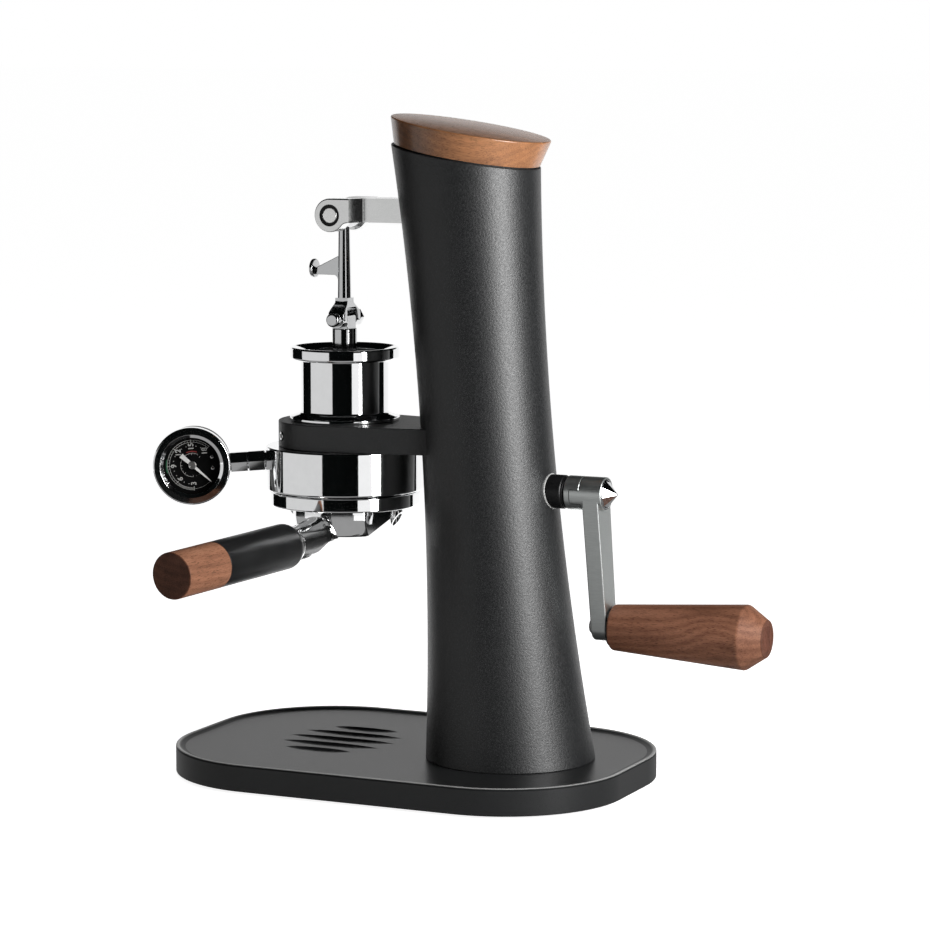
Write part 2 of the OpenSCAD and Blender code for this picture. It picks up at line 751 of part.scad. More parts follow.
module group_bracket() {
  span = web_x - group_x;
  t = asin((bracket_r - web_w / 2) / span);
  color("#1c1d1f") difference() {
    union() {
      brew_frame(bracket_z) cylinder(r = bracket_r, h = bracket_t);
      difference() {
        brew_frame(bracket_z) linear_extrude(bracket_t) polygon([
          [bracket_r * sin(t), bracket_r * cos(t)], [span, web_w / 2],
          [span, -web_w / 2], [bracket_r * sin(t), -bracket_r * cos(t)], [0, 0]]);
        tower_form(-0.05, 100, 240);
      }
      translate([0, -tenon_w / 2, bracket_z]) cube([screw_x - 10, tenon_w, bracket_t]);
    }
    brew_frame(bracket_z - 1) cylinder(r = cyl_r + fit_run, h = bracket_t + 2);
    for (p = bracket_screw_xy) translate([p[0], p[1], bracket_z - 1])
      cylinder(r = 2.5 + fit_loose, h = bracket_t + 2);
    set_screw_frame() rod_x(2.5 + fit_run, cyl_r - 1, bracket_r + 2);
  }
}

web_x = axis_x(bracket_z) - tower_r(bracket_z) + 14;

module bracket_screws() {
  color("silver") for (p = bracket_screw_xy) translate([p[0], p[1], bracket_top])
    screw(2.5, bracket_t + frame_t - 1, 4.2, 3.4);
}

module set_screw_frame() {
  brew_frame(bracket_z + bracket_t * 0.45) rotate([0, 0, 225]) children();
}

module set_screw() {
  color("silver") set_screw_frame() difference() {
    rod_x(2.5, cyl_r + 0.1, bracket_r - 0.6);
    translate([bracket_r - 3, 0, 0]) rotate([0, 90, 0]) cylinder(r = 1.5, h = 4, $fn = 6);
  }
}

// One piece: mouth flange, tube, seat flange, and a spigot through the bracket into the group
module brew_cylinder() {
  e = 1.6;
  b = bracket_top - group_cave;
  color("gainsboro") brew_frame(group_cave) rotate_extrude($fn = 96) polygon([
    [bore_r, 0], [cyl_r, 0], [cyl_r, b], [seat_r - 0.8, b], [seat_r, b + 0.8],
    [seat_r, b + seat_h - 0.4], [seat_r - 0.6, b + seat_h], [cyl_r + 2, b + seat_h],
    [cyl_r, b + seat_h + 2], [cyl_r, b + cyl_h - mouth_h - 0.6], [cyl_r + 0.6, b + cyl_h - mouth_h],
    [mouth_r - e, b + cyl_h - mouth_h], [mouth_r - 0.5, b + cyl_h - mouth_h + 0.5],
    [mouth_r, b + cyl_h - mouth_h + e], [mouth_r, b + cyl_h - e], [mouth_r - 0.5, b + cyl_h - 0.5],
    [mouth_r - e, b + cyl_h], [bore_r + 1.2, b + cyl_h], [bore_r, b + cyl_h - 1.2]]);
}

// Group ring with the bayonet groove, its lip and the two entry slots in the lip
module group_ring() {
  e = 0.8;
  color("gainsboro") difference() {
    brew_frame(group_low) rotate_extrude($fn = 96) polygon([
      [cave_in_r, 0], [group_r - e, 0], [group_r, e], [group_r, group_h - e], [group_r - e, group_h],
      [cyl_r + fit_run, group_h], [cyl_r + fit_run, group_h - group_top_t],
      [cave_in_r, group_h - group_top_t], [cave_in_r, bayonet_lip + bayonet_h],
      [groove_out_r, bayonet_lip + bayonet_h], [groove_out_r, bayonet_lip], [cave_in_r, bayonet_lip]]);
    for (s = [0, 180]) brew_frame(group_low - 1) rotate([0, 0, 270 - grip_yaw - lock_turn + 90 + s])
      intersection() {
        cylinder(r = groove_out_r - 0.3, h = bayonet_lip + 2);
        translate([0, -13, 0]) cube([group_r, 26, group_h]);
      }
    gauge_frame() rod_x(gauge_stem_r - 1.5 + fit_run, -6.5, 2);
  }
}

module group_gasket() {
  color("#3a1f1a") brew_frame(gasket_low) tube(cave_in_r - 0.1, bowl_in_r - 1, gasket_h);
}

module shower_screen() {
  color("silver") brew_frame(group_cave - 1.2) difference() {
    cylinder(r = bowl_in_r - 1 - fit_run, h = 1.2);
    for (k = [1:4]) for (i = [0:6 * k - 1]) rotate([0, 0, i * 60 / k]) translate([5.4 * k, 0, -1])
      cylinder(r = 0.9, h = 4, $fn = 16);
    translate([0, 0, -1]) cylinder(r = 0.9, h = 4, $fn = 16);
  }
}

// Gauge

module gauge_stem() {
  color("silver") gauge_frame() difference() {
    union() {
      rod_x(gauge_stem_r - 1.5, -6, 1);
      rod_x(gauge_stem_r + 0.2, 0.6, 10);
      rod_x(gauge_stem_r, 9.9, gauge_out - case_r + 1.2);
      translate([10, 0, 0]) rotate([0, 90, 0]) cylinder(r = gauge_stem_r + 0.6, h = 8.6, $fn = 6);
    }
    rod_x(1.4, -7, gauge_out);
    gauge_cup_bore();
  }
}

module gauge_cup_bore() {
  translate([gauge_out, 0, 0]) {
    rod_y(case_r + 0.02, -gauge_depth, bezel_front);
    rod_y(gauge_r + 0.1, 1.9, bezel_front);
  }
}

module gauge_case() {
  color("black") gauge_middle() difference() {
    rod_y(case_r, -gauge_depth, glass_y - 1.4);
    rod_y(case_r - 1.2, -gauge_depth + 1.4, bezel_front);
    rod_x(1.4, -gauge_r - 2, 0);
  }
}

// Socket block with the curved pressure tube and the arbor's bearing
module gauge_movement() {
  color("peru") gauge_middle() {
    translate([-case_r + 2.4, -gauge_depth + 1.4, -4]) cube([9, gauge_depth - 3.4, 8]);
    translate([0, -7, 0]) rotate([90, 0, 0])
      rotate_extrude(angle = 250) translate([11.5, 0]) circle(r = 1.6);
    rod_y(4, -gauge_depth + 1.4, -2);
  }
}

module gauge_dial() {
  color("black") gauge_middle() difference() {
    union() {
      rod_y(dial_r, dial_y, dial_y + 0.8);
      for (a = [45, -45]) rotate([0, a, 0]) translate([-dial_r + 2.2, 0, 0])
        rod_y(1.5, -gauge_depth + 1.4, dial_y + eps);
    }
    rod_y(1.28, dial_y - 1, dial_y + 2);
  }
}

module gauge_glass() {
  color("aliceblue", 0.4) gauge_middle() rod_y(case_r - 1.3, glass_y, glass_y + 1.2);
}

// Rolled ring that grips the case and holds the glass
module gauge_bezel() {
  color("gainsboro") gauge_middle() rotate([-90, 0, 0]) rotate_extrude($fn = 96) polygon([
    [case_r + fit_run, 2], [gauge_r - 0.4, 2], [gauge_r, 2.6], [gauge_r, bezel_front - 1.4],
    [gauge_r - 0.4, bezel_front - 0.5], [gauge_r - 1.4, bezel_front], [gauge_r - 2.2, bezel_front - 0.4],
    [gauge_r - 3.4, glass_y + 1.2], [case_r - 1.4, glass_y + 1.2], [case_r - 1.3, glass_y + 1.2],
    [case_r - 1.3, glass_y - 1.4], [case_r + fit_run, glass_y - 1.4]]);
}

// Pointer at zero: a slim blade towards the dial's lower stem side and a broad tail
module gauge_needle() {
  blade = dial_r * 0.78;
  tail = dial_r * 0.46;
  color("white") gauge_middle() {
    rod_y(1.2, -2, dial_y + 2.6);
    rod_y(2.2, dial_y + 1.7, dial_y + 3);
    translate([0, dial_y + 2.4, 0]) rotate([90, 0, 0]) rotate([0, 0, 225]) linear_extrude(0.6)
      polygon([[0, -0.9], [blade, -0.25], [blade, 0.25], [0, 0.9], [-tail, 1.4], [-tail, -1.4]]);
  }
}

// Drive

// Turns without moving along: a collar below the frame's plate and a shoulder above it take the thrust
module lead_screw() {
  color("silver") translate([screw_x, 0, 0]) {
    translate([0, 0, shelf_low]) cylinder(r = journal_r, h = boss_low + 5 - shelf_low);
    translate([0, 0, frame_low - 3.2]) cylinder(r = screw_r, h = 3);
    translate([0, 0, frame_top + 0.2]) cylinder(r = screw_r, h = boss_low - frame_top - 1.2);
  }
}

module screw_gear() {
  color("goldenrod") translate([screw_x, 0, crank_z - gear_r]) mitre_gear(journal_r + 0.02, 0);
}

module carriage() {
  color("slategray") difference() {
    translate([carriage_front, -carriage_w / 2, carriage_low])
      cube([carriage_back - carriage_front, carriage_w, carriage_top - carriage_low]);
    translate([screw_x, 0, carriage_low - 1]) cylinder(r = nut_r, h = carriage_top - carriage_low + 2);
    for (s = [-1, 1]) translate([screw_x, s * guide_off, carriage_low - 1])
      cylinder(r = guide_r + fit_run, h = carriage_top - carriage_low + 2);
    for (z = arm_screw_z) translate([0, 0, z]) rod_x(arm_screw_r + fit_run, carriage_front - 1, screw_x);
  }
}

// Flanged nut pressed into the carriage from below
module drive_nut() {
  color("peru") translate([screw_x, 0, carriage_low - 2]) difference() {
    union() {
      cylinder(r = screw_r + 5, h = 2);
      cylinder(r = nut_r - fit_run, h = carriage_top - carriage_low + 2);
    }
    translate([0, 0, -1]) cylinder(r = screw_r + fit_run, h = carriage_h + 4);
  }
}

// Forked arm: bar, two round cheeks for the pin, and a foot on the carriage
module press_arm() {
  fork_back = fork_r + 2.6;
  scoop_r = (fork_w - bar_w) / 2;
  color("silver") difference() {
    union() {
      translate([group_x, -bar_w / 2, bar_low]) cube([carriage_front - group_x, bar_w, bar_h]);
      translate([carriage_front - arm_back_t, -bar_w / 2, carriage_low])
        cube([arm_back_t, bar_w, bar_top - carriage_low]);
      translate([group_x, -fork_w / 2, bar_low]) cube([fork_back + scoop_r, fork_w, bar_h]);
      brew_frame(pin_z) rod_y(fork_r, -fork_w / 2, fork_w / 2);
    }
    for (s = [-1, 1]) translate([group_x + fork_back + scoop_r, s * fork_w / 2, bar_low - 1])
      cylinder(r = scoop_r, h = bar_h + 2);
    translate([group_x - fork_r - 1, -fork_gap / 2, pin_z - fork_r - 1])
      cube([2 * fork_r + 2, fork_gap, 3 * fork_r]);
    brew_frame(pin_z) rod_y(pin_r + fit_run, -fork_w, fork_w);
    for (s = [-1, 1]) brew_frame(pin_z) translate([0, s * fork_w / 2, 0]) rod_y(pin_r + 1.05, -1.6, 1.6);
    for (z = arm_screw_z) translate([0, 0, z]) {
      rod_x(arm_screw_r + fit_loose, carriage_front - arm_back_t - 1, carriage_front + 1);
      rod_x(arm_screw_r + 2.2, carriage_front - arm_back_t - 1, carriage_front - arm_back_t + 3.6);
    }
  }
}

module arm_screws() {
  color("gray") for (z = arm_screw_z)
    translate([carriage_front - arm_back_t + 3.6, 0, z]) rotate([0, -90, 0])
    screw(arm_screw_r, arm_back_t + 1.4, arm_screw_r + 1.6, 3);
}

module arm_pin() {
  color("silver") brew_frame(pin_z) rod_y(pin_r, -fork_w / 2 + 0.4, fork_w / 2 - 0.4);
}

// Link: eye between the fork's cheeks, round rod, thumb web, and a yoke over the piston stem
module link_rod() {
  eye_r = pin_r + 3;
  eye_w = fork_gap - 2 * fit_pass;
  yoke_r = bolt_r + 4.2;
  yoke_top = knuckle_z + stem_r + 3.4;
  bridge_w = 2 * yoke_out;
  color("silver") difference() {
    union() {
      brew_frame(pin_z) rod_y(eye_r, -eye_w / 2, eye_w / 2);
      brew_frame(yoke_top - 1) cylinder(r = link_r, h = pin_z - yoke_top + 1);
      brew_frame(yoke_top - 4) translate([-yoke_r * 0.8, -bridge_w / 2, 0])
        cube([yoke_r * 1.6, bridge_w, 4]);
      brew_frame(yoke_top - 0.1) cylinder(r1 = yoke_r * 0.8, r2 = link_r, h = 6);
      for (s = [-1, 1]) brew_frame(knuckle_z) {
        translate([0, s * (stem_gap + yoke_t / 2), 0]) rod_y(yoke_r, -yoke_t / 2, yoke_t / 2);
        translate([-yoke_r * 0.8, s * (stem_gap + yoke_t / 2) - yoke_t / 2, 0])
          cube([yoke_r * 1.6, yoke_t, yoke_top - knuckle_z - 1]);
      }
      brew_frame(thumb_z) rotate([90, 0, 0]) linear_extrude(3, center = true) polygon([
        [0, -3.4], [-thumb_reach + 2, -3.4], [-thumb_reach + 2, 1.6], [-link_r, 8.4], [0, 8.4]]);
    }
    brew_frame(pin_z) rod_y(pin_r + fit_run, -fork_w, fork_w);
    brew_frame(knuckle_z) rod_y(bolt_r + fit_run, -fork_w, fork_w);
    brew_frame(knuckle_z - yoke_r - 1) cylinder(r = stem_gap, h = yoke_r + 1 + stem_r + 0.4);
  }
}

thumb_z = knuckle_z + link_l * 0.474;

module thumb_button() {
  color("silver") brew_frame(thumb_z) {
    rod_x(thumb_r, -thumb_reach, -thumb_reach + 2);
  }
}

bolt_grip = yoke_out + 0.2;

module knuckle_bolt() {
  color("silver") brew_frame(knuckle_z) {
    rod_y(bolt_r, -bolt_grip - 0.5, bolt_grip + 5.6);
    rod_y(bolt_r + 1.3, -bolt_grip - 5, -bolt_grip);
  }
}

module knuckle_nut() {
  color("silver") brew_frame(knuckle_z) difference() {
    translate([0, bolt_grip, 0]) rotate([-90, 0, 0]) cylinder(r = bolt_r + 1.8, h = 4.4, $fn = 6);
    rod_y(bolt_r + 0.02, 0, fork_w);
  }
}

module piston_stem() {
  color("silver") difference() {
    union() {
      brew_frame(piston_low + 5) cylinder(r = stem_r - 2, h = piston_t);
      brew_frame(piston_top) cylinder(r = stem_r, h = knuckle_z + stem_r - 0.6 - piston_top);
    }
    brew_frame(knuckle_z) rod_y(bolt_r + fit_run, -fork_w, fork_w);
  }
}

seal_r = 1.5;
seal_inset = 3.4;
seal_room = 0.1;
seal_slack = 0.02;
seal_z = [piston_low + seal_inset, piston_top - seal_inset];

module piston() {
  color("whitesmoke") difference() {
    brew_frame(piston_low) cylinder(r = piston_r, h = piston_t);
    brew_frame(piston_low + 5) cylinder(r = stem_r - 2 + fit_run, h = piston_t);
    for (z = seal_z) brew_frame(z - seal_r) tube(bore_r, bore_r - 2 * seal_r - seal_room, 2 * seal_r);
  }
}

module piston_seals() {
  color("firebrick") for (z = seal_z) brew_frame(z) rotate_extrude()
    translate([bore_r - fit_run - seal_r, 0]) circle(r = seal_r - seal_slack);
}

// Crank

module crank_shaft() {
  color("silver") translate([0, 0, crank_z]) difference() {
    union() {
      rod_x(shaft_end_r, screw_x + gear_r - gear_face + 0.4, leg_x);
      rod_x(shaft_r, screw_x + gear_r + 5, hub_end - 2);
    }
    rod_x(2.4 + fit_run, hub_end - 14, hub_end);
  }
}

module drive_gear() {
  color("goldenrod") translate([screw_x + gear_r, 0, crank_z]) rotate([0, -90, 0])
    mitre_gear(shaft_end_r + 0.02, 180 / gear_n);
}

// Castle coupling keyed to the shaft: its two notches take the crank's teeth
module coupling_ring() {
  color("silver") crank_frame() difference() {
    rod_x(hub_r, ring_x, hub_x - fit_loose);
    rod_x(shaft_r + 0.02, ring_x - 1, hub_x + 1);
    translate([dog_x, -hub_r - 1, -dog_w / 2 - fit_loose])
      cube([dog_l + 1, 2 * hub_r + 2, dog_w + 2 * fit_loose]);
  }
}

module crank_arm() {
  t = asin((hub_r - crank_end_r) / crank_r);
  a = hub_r - 0.12;
  b = crank_end_r - 0.12;
  color("#8d9191") crank_frame() difference() {
    union() {
      rod_x(hub_r, hub_x, hub_end);
      intersection() {
        rod_x(hub_r, dog_x + fit_loose, hub_x + 1);
        translate([dog_x, -hub_r, -dog_w / 2]) cube([dog_l + 2, 2 * hub_r, dog_w]);
      }
      translate([bar_x, 0, 0]) rotate([90, 0, 90]) linear_extrude(crank_bar_t) polygon([
        [a * cos(t), -a * sin(t)], [b * cos(t), -crank_r - b * sin(t)],
        [-b * cos(t), -crank_r - b * sin(t)], [-a * cos(t), -a * sin(t)]]);
      translate([0, 0, -crank_r]) rod_x(crank_end_r, bar_x, bar_face);
    }
    rod_x(shaft_r + 0.02, dog_x - 1, hub_end - 1.9);
    rod_x(hub_r - 1, hub_end - 1.9, hub_end + 1);
    translate([0, 0, -crank_r]) rod_x(spindle_r + 0.02, bar_x - 1, bar_face + 1);
  }
}

// Screw with a faceted conical head that closes the hub's end
module crank_screw() {
  color("gainsboro") crank_frame() {
    rod_x(2.4, hub_end - 13, hub_end);
    rod_x(hub_r - 1.2, hub_end - 1.8, hub_end + 0.2);
    translate([hub_end + 0.1, 0, 0]) rotate([0, 90, 0])
      cylinder(r1 = hub_r - 2.4, r2 = 0.8, h = cone_h, $fn = 8);
  }
}

nut_x = handle_end - plug_t - nut_t - 0.6;

// Riveted in the crank's bar, with a locknut inside the handle's end
module handle_spindle() {
  color("silver") handle_frame() {
    rod_x(spindle_r, bar_x - 1, nut_x + nut_t);
    rod_x(spindle_r + 0.8, bar_x - head_out, bar_x);
    rod_x(plug_r - 0.7, nut_x, nut_x + nut_t);
  }
}

module handle_washer() {
  color("black") handle_frame() difference() {
    rod_x(handle_root_r - 2, bar_face, handle_x - 0.3);
    rod_x(spindle_r + 0.02, bar_face - 1, handle_x + 1);
  }
}

// Turned handle: rounded root, straight taper, chamfered nose, and a counterbore for the locknut
module crank_handle() {
  nose = [for (i = [0:6]) let (u = i / 6, v = 1 - u)
    [handle_r * v * v + 2 * u * v * (handle_r - 0.2) + u * u * (handle_r - 1),
     nose_x - handle_x - 2.4 * v + 1.4 * u]];
  color("#7a4a35") handle_frame() translate([handle_x, 0, 0]) rotate([0, 90, 0]) difference() {
    rotate_extrude($fn = 96) polygon(concat([[0, 0], [handle_root_r - 1.4, 0],
      [handle_root_r - 0.4, 0.4], [handle_root_r, 1.4]], nose,
      [[handle_end_r + 0.3, handle_l - 0.4], [handle_end_r, handle_l], [0, handle_l]]));
    translate([0, 0, -1]) cylinder(r = spindle_r + 2, h = handle_l - plug_t);
    translate([0, 0, nut_x - handle_x - 0.4]) cylinder(r = plug_r, h = handle_l);
  }
}

// Wooden plug that closes the counterbore over the locknut
module handle_plug() {
  color("#6b4630") handle_frame() rod_x(plug_r - fit_run, handle_end - plug_t, handle_end);
}

module handle_sleeve() {
  color("peru") handle_frame() translate([handle_x, 0, 0]) rotate([0, 90, 0])
    tube(spindle_r + 2 - fit_run, spindle_r + fit_run, nut_x - handle_x - 0.4);
}

// Portafilter

module portafilter_body() {
  e = 0.7;
  color("gainsboro") difference() {
    union() {
      brew_frame(rim_low) rotate_extrude($fn = 96) polygon([[0, 0], [rim_r - e, 0], [rim_r, e],
        [rim_r, rim_h - e], [rim_r - e, rim_h], [bowl_r, rim_h], [bowl_r, bowl_top - rim_low],
        [bowl_in_r, bowl_top - rim_low], [bowl_in_r, floor_t], [0, floor_t]]);
      for (s = [-1, 1]) bowl_frame() translate([0, 0, lug_low]) intersection() {
        tube(lug_r, bowl_r - 1, lug_h);
        translate([-10, s > 0 ? 0 : -lug_r, -1]) cube([20, lug_r, lug_h + 2]);
      }
      intersection() {
        brew_frame(rim_low - keel_h) cylinder(r = keel_r, h = keel_h + eps);
        bowl_frame() translate([0, 0, rim_low]) rotate([90, 0, 0]) linear_extrude(3 * keel_r, center = true)
          polygon([[neck_start, eps], [neck_start, -keel_h], [keel_flat, -keel_h], [-keel_flat, eps]]);
      }
      nozzles(3.3, nozzle_l, eps);
    }
    nozzles(2.3, nozzle_l + 1, floor_t - 0.8);
    for (s = [-1, 1]) bowl_frame() translate([0, 0, rim_low + floor_t + 0.4])
      rod_y(1.6, s > 0 ? 0 : -nozzle_off, s > 0 ? nozzle_off : 0);
    brew_frame(spring_z) tube(bowl_in_r + 0.8, bowl_in_r - 1, 1.6);
    grip_frame() rod_x(tie_r + fit_run, neck_start - 12, neck_start + 1);
  }
}

spring_z = bowl_top - 6.8;

module nozzles(r, down, up) {
  for (s = [-1, 1]) bowl_frame() translate([0, s * nozzle_off, rim_low - down])
    cylinder(r = r, h = down + up);
}

module coffee_basket() {
  depth = bowl_top - floor_z - 1.4;
  color("silver") brew_frame(bowl_top - depth) difference() {
    rotate_extrude($fn = 96) polygon([[0, 0], [basket_r - 2, 0], [basket_r, 2], [basket_r, depth],
      [bowl_r - 0.8, depth], [bowl_r - 0.8, depth + basket_rim_t],
      [basket_r - basket_t, depth + basket_rim_t],
      [basket_r - basket_t, 2.3], [basket_r - 2.3, basket_t], [0, basket_t]]);
    for (k = [1:4]) for (i = [0:6 * k - 1]) rotate([0, 0, i * 60 / k]) translate([5.6 * k, 0, -1])
      cylinder(r = 0.6, h = 4, $fn = 16);
  }
}

// Open ring of wire in the bowl's groove, bearing on the basket
module basket_spring() {
  color("silver") brew_frame(spring_z + 0.8) rotate([0, 0, 40]) rotate_extrude(angle = 320)
    translate([bowl_in_r + 0.12, 0]) circle(r = 0.55, $fn = 24);
}

// Turned neck: collar on the keel, waisted barrel, ferrule against the grip
module portafilter_neck() {
  span = grip_root - ferrule_t - neck_start;
  barrel = [for (i = [0:8]) let (u = i / 8)
    [neck_end_r + (neck_root_r - 1.2 - neck_end_r) * pow(1 - u, 2), 2 + (span - 2) * u]];
  color("gainsboro") grip_frame() difference() {
    translate([neck_start, 0, 0]) rotate([0, 90, 0]) rotate_extrude() polygon(concat(
      [[0, 0], [neck_root_r - 0.4, 0], [neck_root_r, 0.5], [neck_root_r, 1.5], [neck_root_r - 0.4, 2]],
      barrel,
      [[neck_end_r + 1, span], [neck_end_r + 1.4, span + 0.6], [neck_end_r + 1.4, span + ferrule_t - 0.4],
      [neck_end_r + 1, span + ferrule_t], [0, span + ferrule_t]]));
    rod_x(tie_r + fit_run, neck_start - 1, grip_root + 1);
  }
}

module grip_sleeve() {
  round_l = 5;
  nose = [for (i = [0:5]) let (a = i * 90 / 5) [grip_r - 3.6 + 3.6 * sin(a), round_l - round_l * cos(a)]];
  color("black") grip_frame() translate([grip_root, 0, 0]) rotate([0, 90, 0]) difference() {
    rotate_extrude() polygon(concat([[0, 0]], nose, [[grip_r, sleeve_l], [0, sleeve_l]]));
    translate([0, 0, -1]) cylinder(r = tie_r + fit_run, h = sleeve_l + 2);
  }
}

module grip_end() {
  e = 0.8;
  color("#8a5a42") grip_frame() translate([grip_root + sleeve_l, 0, 0]) rotate([0, 90, 0]) difference() {
    rotate_extrude() polygon([[0, 0], [grip_r, 0], [grip_r, grip_end_l - e], [grip_r - e, grip_end_l],
      [0, grip_end_l]]);
    translate([0, 0, -1]) cylinder(r = tie_r + fit_run, h = 21);
  }
}

// Threaded rod that ties keel, neck, sleeve and wooden end together
module tie_rod() {
  color("silver") grip_frame() rod_x(tie_r, neck_start - 11, grip_root + sleeve_l + 19);
}

base_tray();
base_cover();
cover_screws();
rubber_feet();
tower_shell();
tower_screws();
tower_cap();
cap_plate();
cap_screws();
gear_frame();
frame_screws();
guide_rods();
screw_bushes();
crank_bushing();
bushing_ring();
group_bracket();
bracket_screws();
set_screw();
brew_cylinder();
group_ring();
group_gasket();
shower_screen();
gauge_stem();
gauge_case();
gauge_movement();
gauge_dial();
gauge_glass();
gauge_bezel();
gauge_needle();
lead_screw();
screw_gear();
carriage();
drive_nut();
press_arm();
arm_screws();
arm_pin();
link_rod();
thumb_button();
knuckle_bolt();
knuckle_nut();
piston_stem();
piston();
piston_seals();
crank_shaft();
drive_gear();
coupling_ring();
crank_arm();
crank_screw();
handle_spindle();
handle_washer();
crank_handle();
handle_sleeve();
handle_plug();
portafilter_body();
coffee_basket();
basket_spring();
portafilter_neck();
grip_sleeve();
grip_end();
tie_rod();
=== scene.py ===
from math import acos, asin, cos, degrees, pi, radians, sin, sqrt, tan

import bmesh
import bpy
from mathutils import Matrix, Vector


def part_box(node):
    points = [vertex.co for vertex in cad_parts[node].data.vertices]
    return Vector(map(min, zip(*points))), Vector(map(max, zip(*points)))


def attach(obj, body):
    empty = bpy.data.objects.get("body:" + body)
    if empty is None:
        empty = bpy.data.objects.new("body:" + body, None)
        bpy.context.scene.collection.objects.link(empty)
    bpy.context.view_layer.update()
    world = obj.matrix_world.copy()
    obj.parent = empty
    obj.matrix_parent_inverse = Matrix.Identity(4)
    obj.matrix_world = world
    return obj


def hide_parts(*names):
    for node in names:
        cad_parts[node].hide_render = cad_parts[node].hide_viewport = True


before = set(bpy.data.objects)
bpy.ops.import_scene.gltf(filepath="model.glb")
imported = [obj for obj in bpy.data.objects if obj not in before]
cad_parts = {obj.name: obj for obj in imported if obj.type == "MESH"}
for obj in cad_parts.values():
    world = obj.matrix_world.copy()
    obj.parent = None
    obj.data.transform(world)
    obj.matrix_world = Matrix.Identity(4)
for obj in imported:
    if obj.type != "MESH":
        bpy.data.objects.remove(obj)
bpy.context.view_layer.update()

# ---- Camera ---------------------------------------------------------------------------------
# A long lens a little above the press arm, turned from the user's side towards the crank.
# It frames the machine as the photograph does.
yaw, pitch, distance = radians(24.79), radians(7.15), 1.8579
target = Vector((0.03038, 0.0, 0.17486))
back = Vector((sin(yaw) * cos(pitch), -cos(yaw) * cos(pitch), sin(pitch)))
lens = bpy.data.cameras.new("camera")
lens.lens, lens.sensor_width = 131.6, 36.0
scene = bpy.context.scene


def placed(name, data):
    """An object in the scene for a lens, lamp, mesh or curve."""
    thing = bpy.data.objects.new(name, data)
    scene.collection.objects.link(thing)
    return thing


camera = placed("camera", lens)
camera.location = target + back * distance
camera.rotation_euler = back.to_track_quat("Z", "Y").to_euler()
scene.camera = camera
scene.view_settings.view_transform = "Standard"

# ---- Counter and studio ---------------------------------------------------------------------
# A plain white counter in a white studio. Softboxes at both sides and one overhead light the
# machine. A black tent with a grey floor, seen only in reflections, draws the chrome's dark bands.


def wire(tree, kind, settings=None, **inputs):
    """Adds a node to a tree. An input is a plain value or the output of another node."""
    node = tree.nodes.new(kind)
    for key, value in (settings or {}).items():
        setattr(node, key, value)
    for key, value in inputs.items():
        put(tree, node.inputs[key], value)
    return node


def put(tree, socket, value):
    """Sets an input to a plain value, or wires another node's output to it."""
    if isinstance(value, Rule):
        value = value.socket
    if isinstance(value, bpy.types.NodeSocket):
        tree.links.new(value, socket)
    else:
        socket.default_value = value


class Rule:
    """A number that runs through a node tree, so that a rule is written as arithmetic."""

    def __init__(self, tree, socket):
        self.tree, self.socket = tree, socket

    def made(self, operation, *others):
        node = wire(self.tree, "ShaderNodeMath", {"operation": operation})
        for place, value in zip(node.inputs, (self, *others)):
            put(self.tree, place, value)
        return Rule(self.tree, node.outputs[0])

    def __add__(self, other):
        return self.made("ADD", other)

    def __sub__(self, other):
        return self.made("SUBTRACT", other)

    def __mul__(self, other):
        return self.made("MULTIPLY", other)

    def __truediv__(self, other):
        return self.made("DIVIDE", other)


def seen_directly(tree):
    """One for rays from the camera, from a mirror or through glass, and zero for the rest."""
    path = wire(tree, "ShaderNodeLightPath").outputs
    camera_ray, mirror_ray, glass_ray = (Rule(tree, path[key])
        for key in ("Is Camera Ray", "Is Glossy Ray", "Is Transmission Ray"))
    return camera_ray.made("MAXIMUM", mirror_ray).made("MAXIMUM", glass_ray)


world = bpy.data.worlds.new("studio")
world.use_nodes = True
scene.world = world
air = world.node_tree
air.nodes.clear()
fill = wire(air, "ShaderNodeBackground", Color=(1, 1, 1, 1), Strength=0.12)
backdrop = wire(air, "ShaderNodeBackground", Color=(1, 1, 1, 1), Strength=1.0)
sky = wire(air, "ShaderNodeMixShader", Fac=seen_directly(air))
put(air, sky.inputs[1], fill.outputs[0])
put(air, sky.inputs[2], backdrop.outputs[0])
wire(air, "ShaderNodeOutputWorld", Surface=sky.outputs[0])

counter_white = bpy.data.materials.new("counter_white")
counter_white.use_nodes = True
tree = counter_white.node_tree
tree.nodes.clear()
dull = wire(tree, "ShaderNodeBsdfDiffuse", Color=(0.8, 0.8, 0.8, 1))
glow = wire(tree, "ShaderNodeEmission", Color=(1, 1, 1, 1), Strength=0.9)
lit = wire(tree, "ShaderNodeAddShader")
put(tree, lit.inputs[0], dull.outputs[0])
put(tree, lit.inputs[1], glow.outputs[0])
both = wire(tree, "ShaderNodeMixShader", Fac=seen_directly(tree))
put(tree, both.inputs[1], dull.outputs[0])
put(tree, both.inputs[2], lit.outputs[0])
wire(tree, "ShaderNodeOutputMaterial", Surface=both.outputs[0])

counter_mesh = bpy.data.meshes.new("counter")
reach, sunk = 40.0, -0.0001
counter_mesh.from_pydata([(-reach, -reach, sunk), (reach, -reach, sunk), (reach, reach, sunk),
    (-reach, reach, sunk)], [], [(0, 1, 2, 3)])
counter_mesh.materials.append(counter_white)
counter = placed("counter", counter_mesh)

brew_low, brew_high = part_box("group_ring")
brew_x = (brew_low.x + brew_high.x) / 2


def facing(azimuth, away, low, height):
    """The place of an upright panel round the brew axis, and the turn that faces it inwards."""
    out = Vector((cos(radians(azimuth)), sin(radians(azimuth)), 0))
    spot = Vector((brew_x, 0, low + height / 2)) + out * away
    return spot, out.to_track_quat("Z", "Y").to_euler()


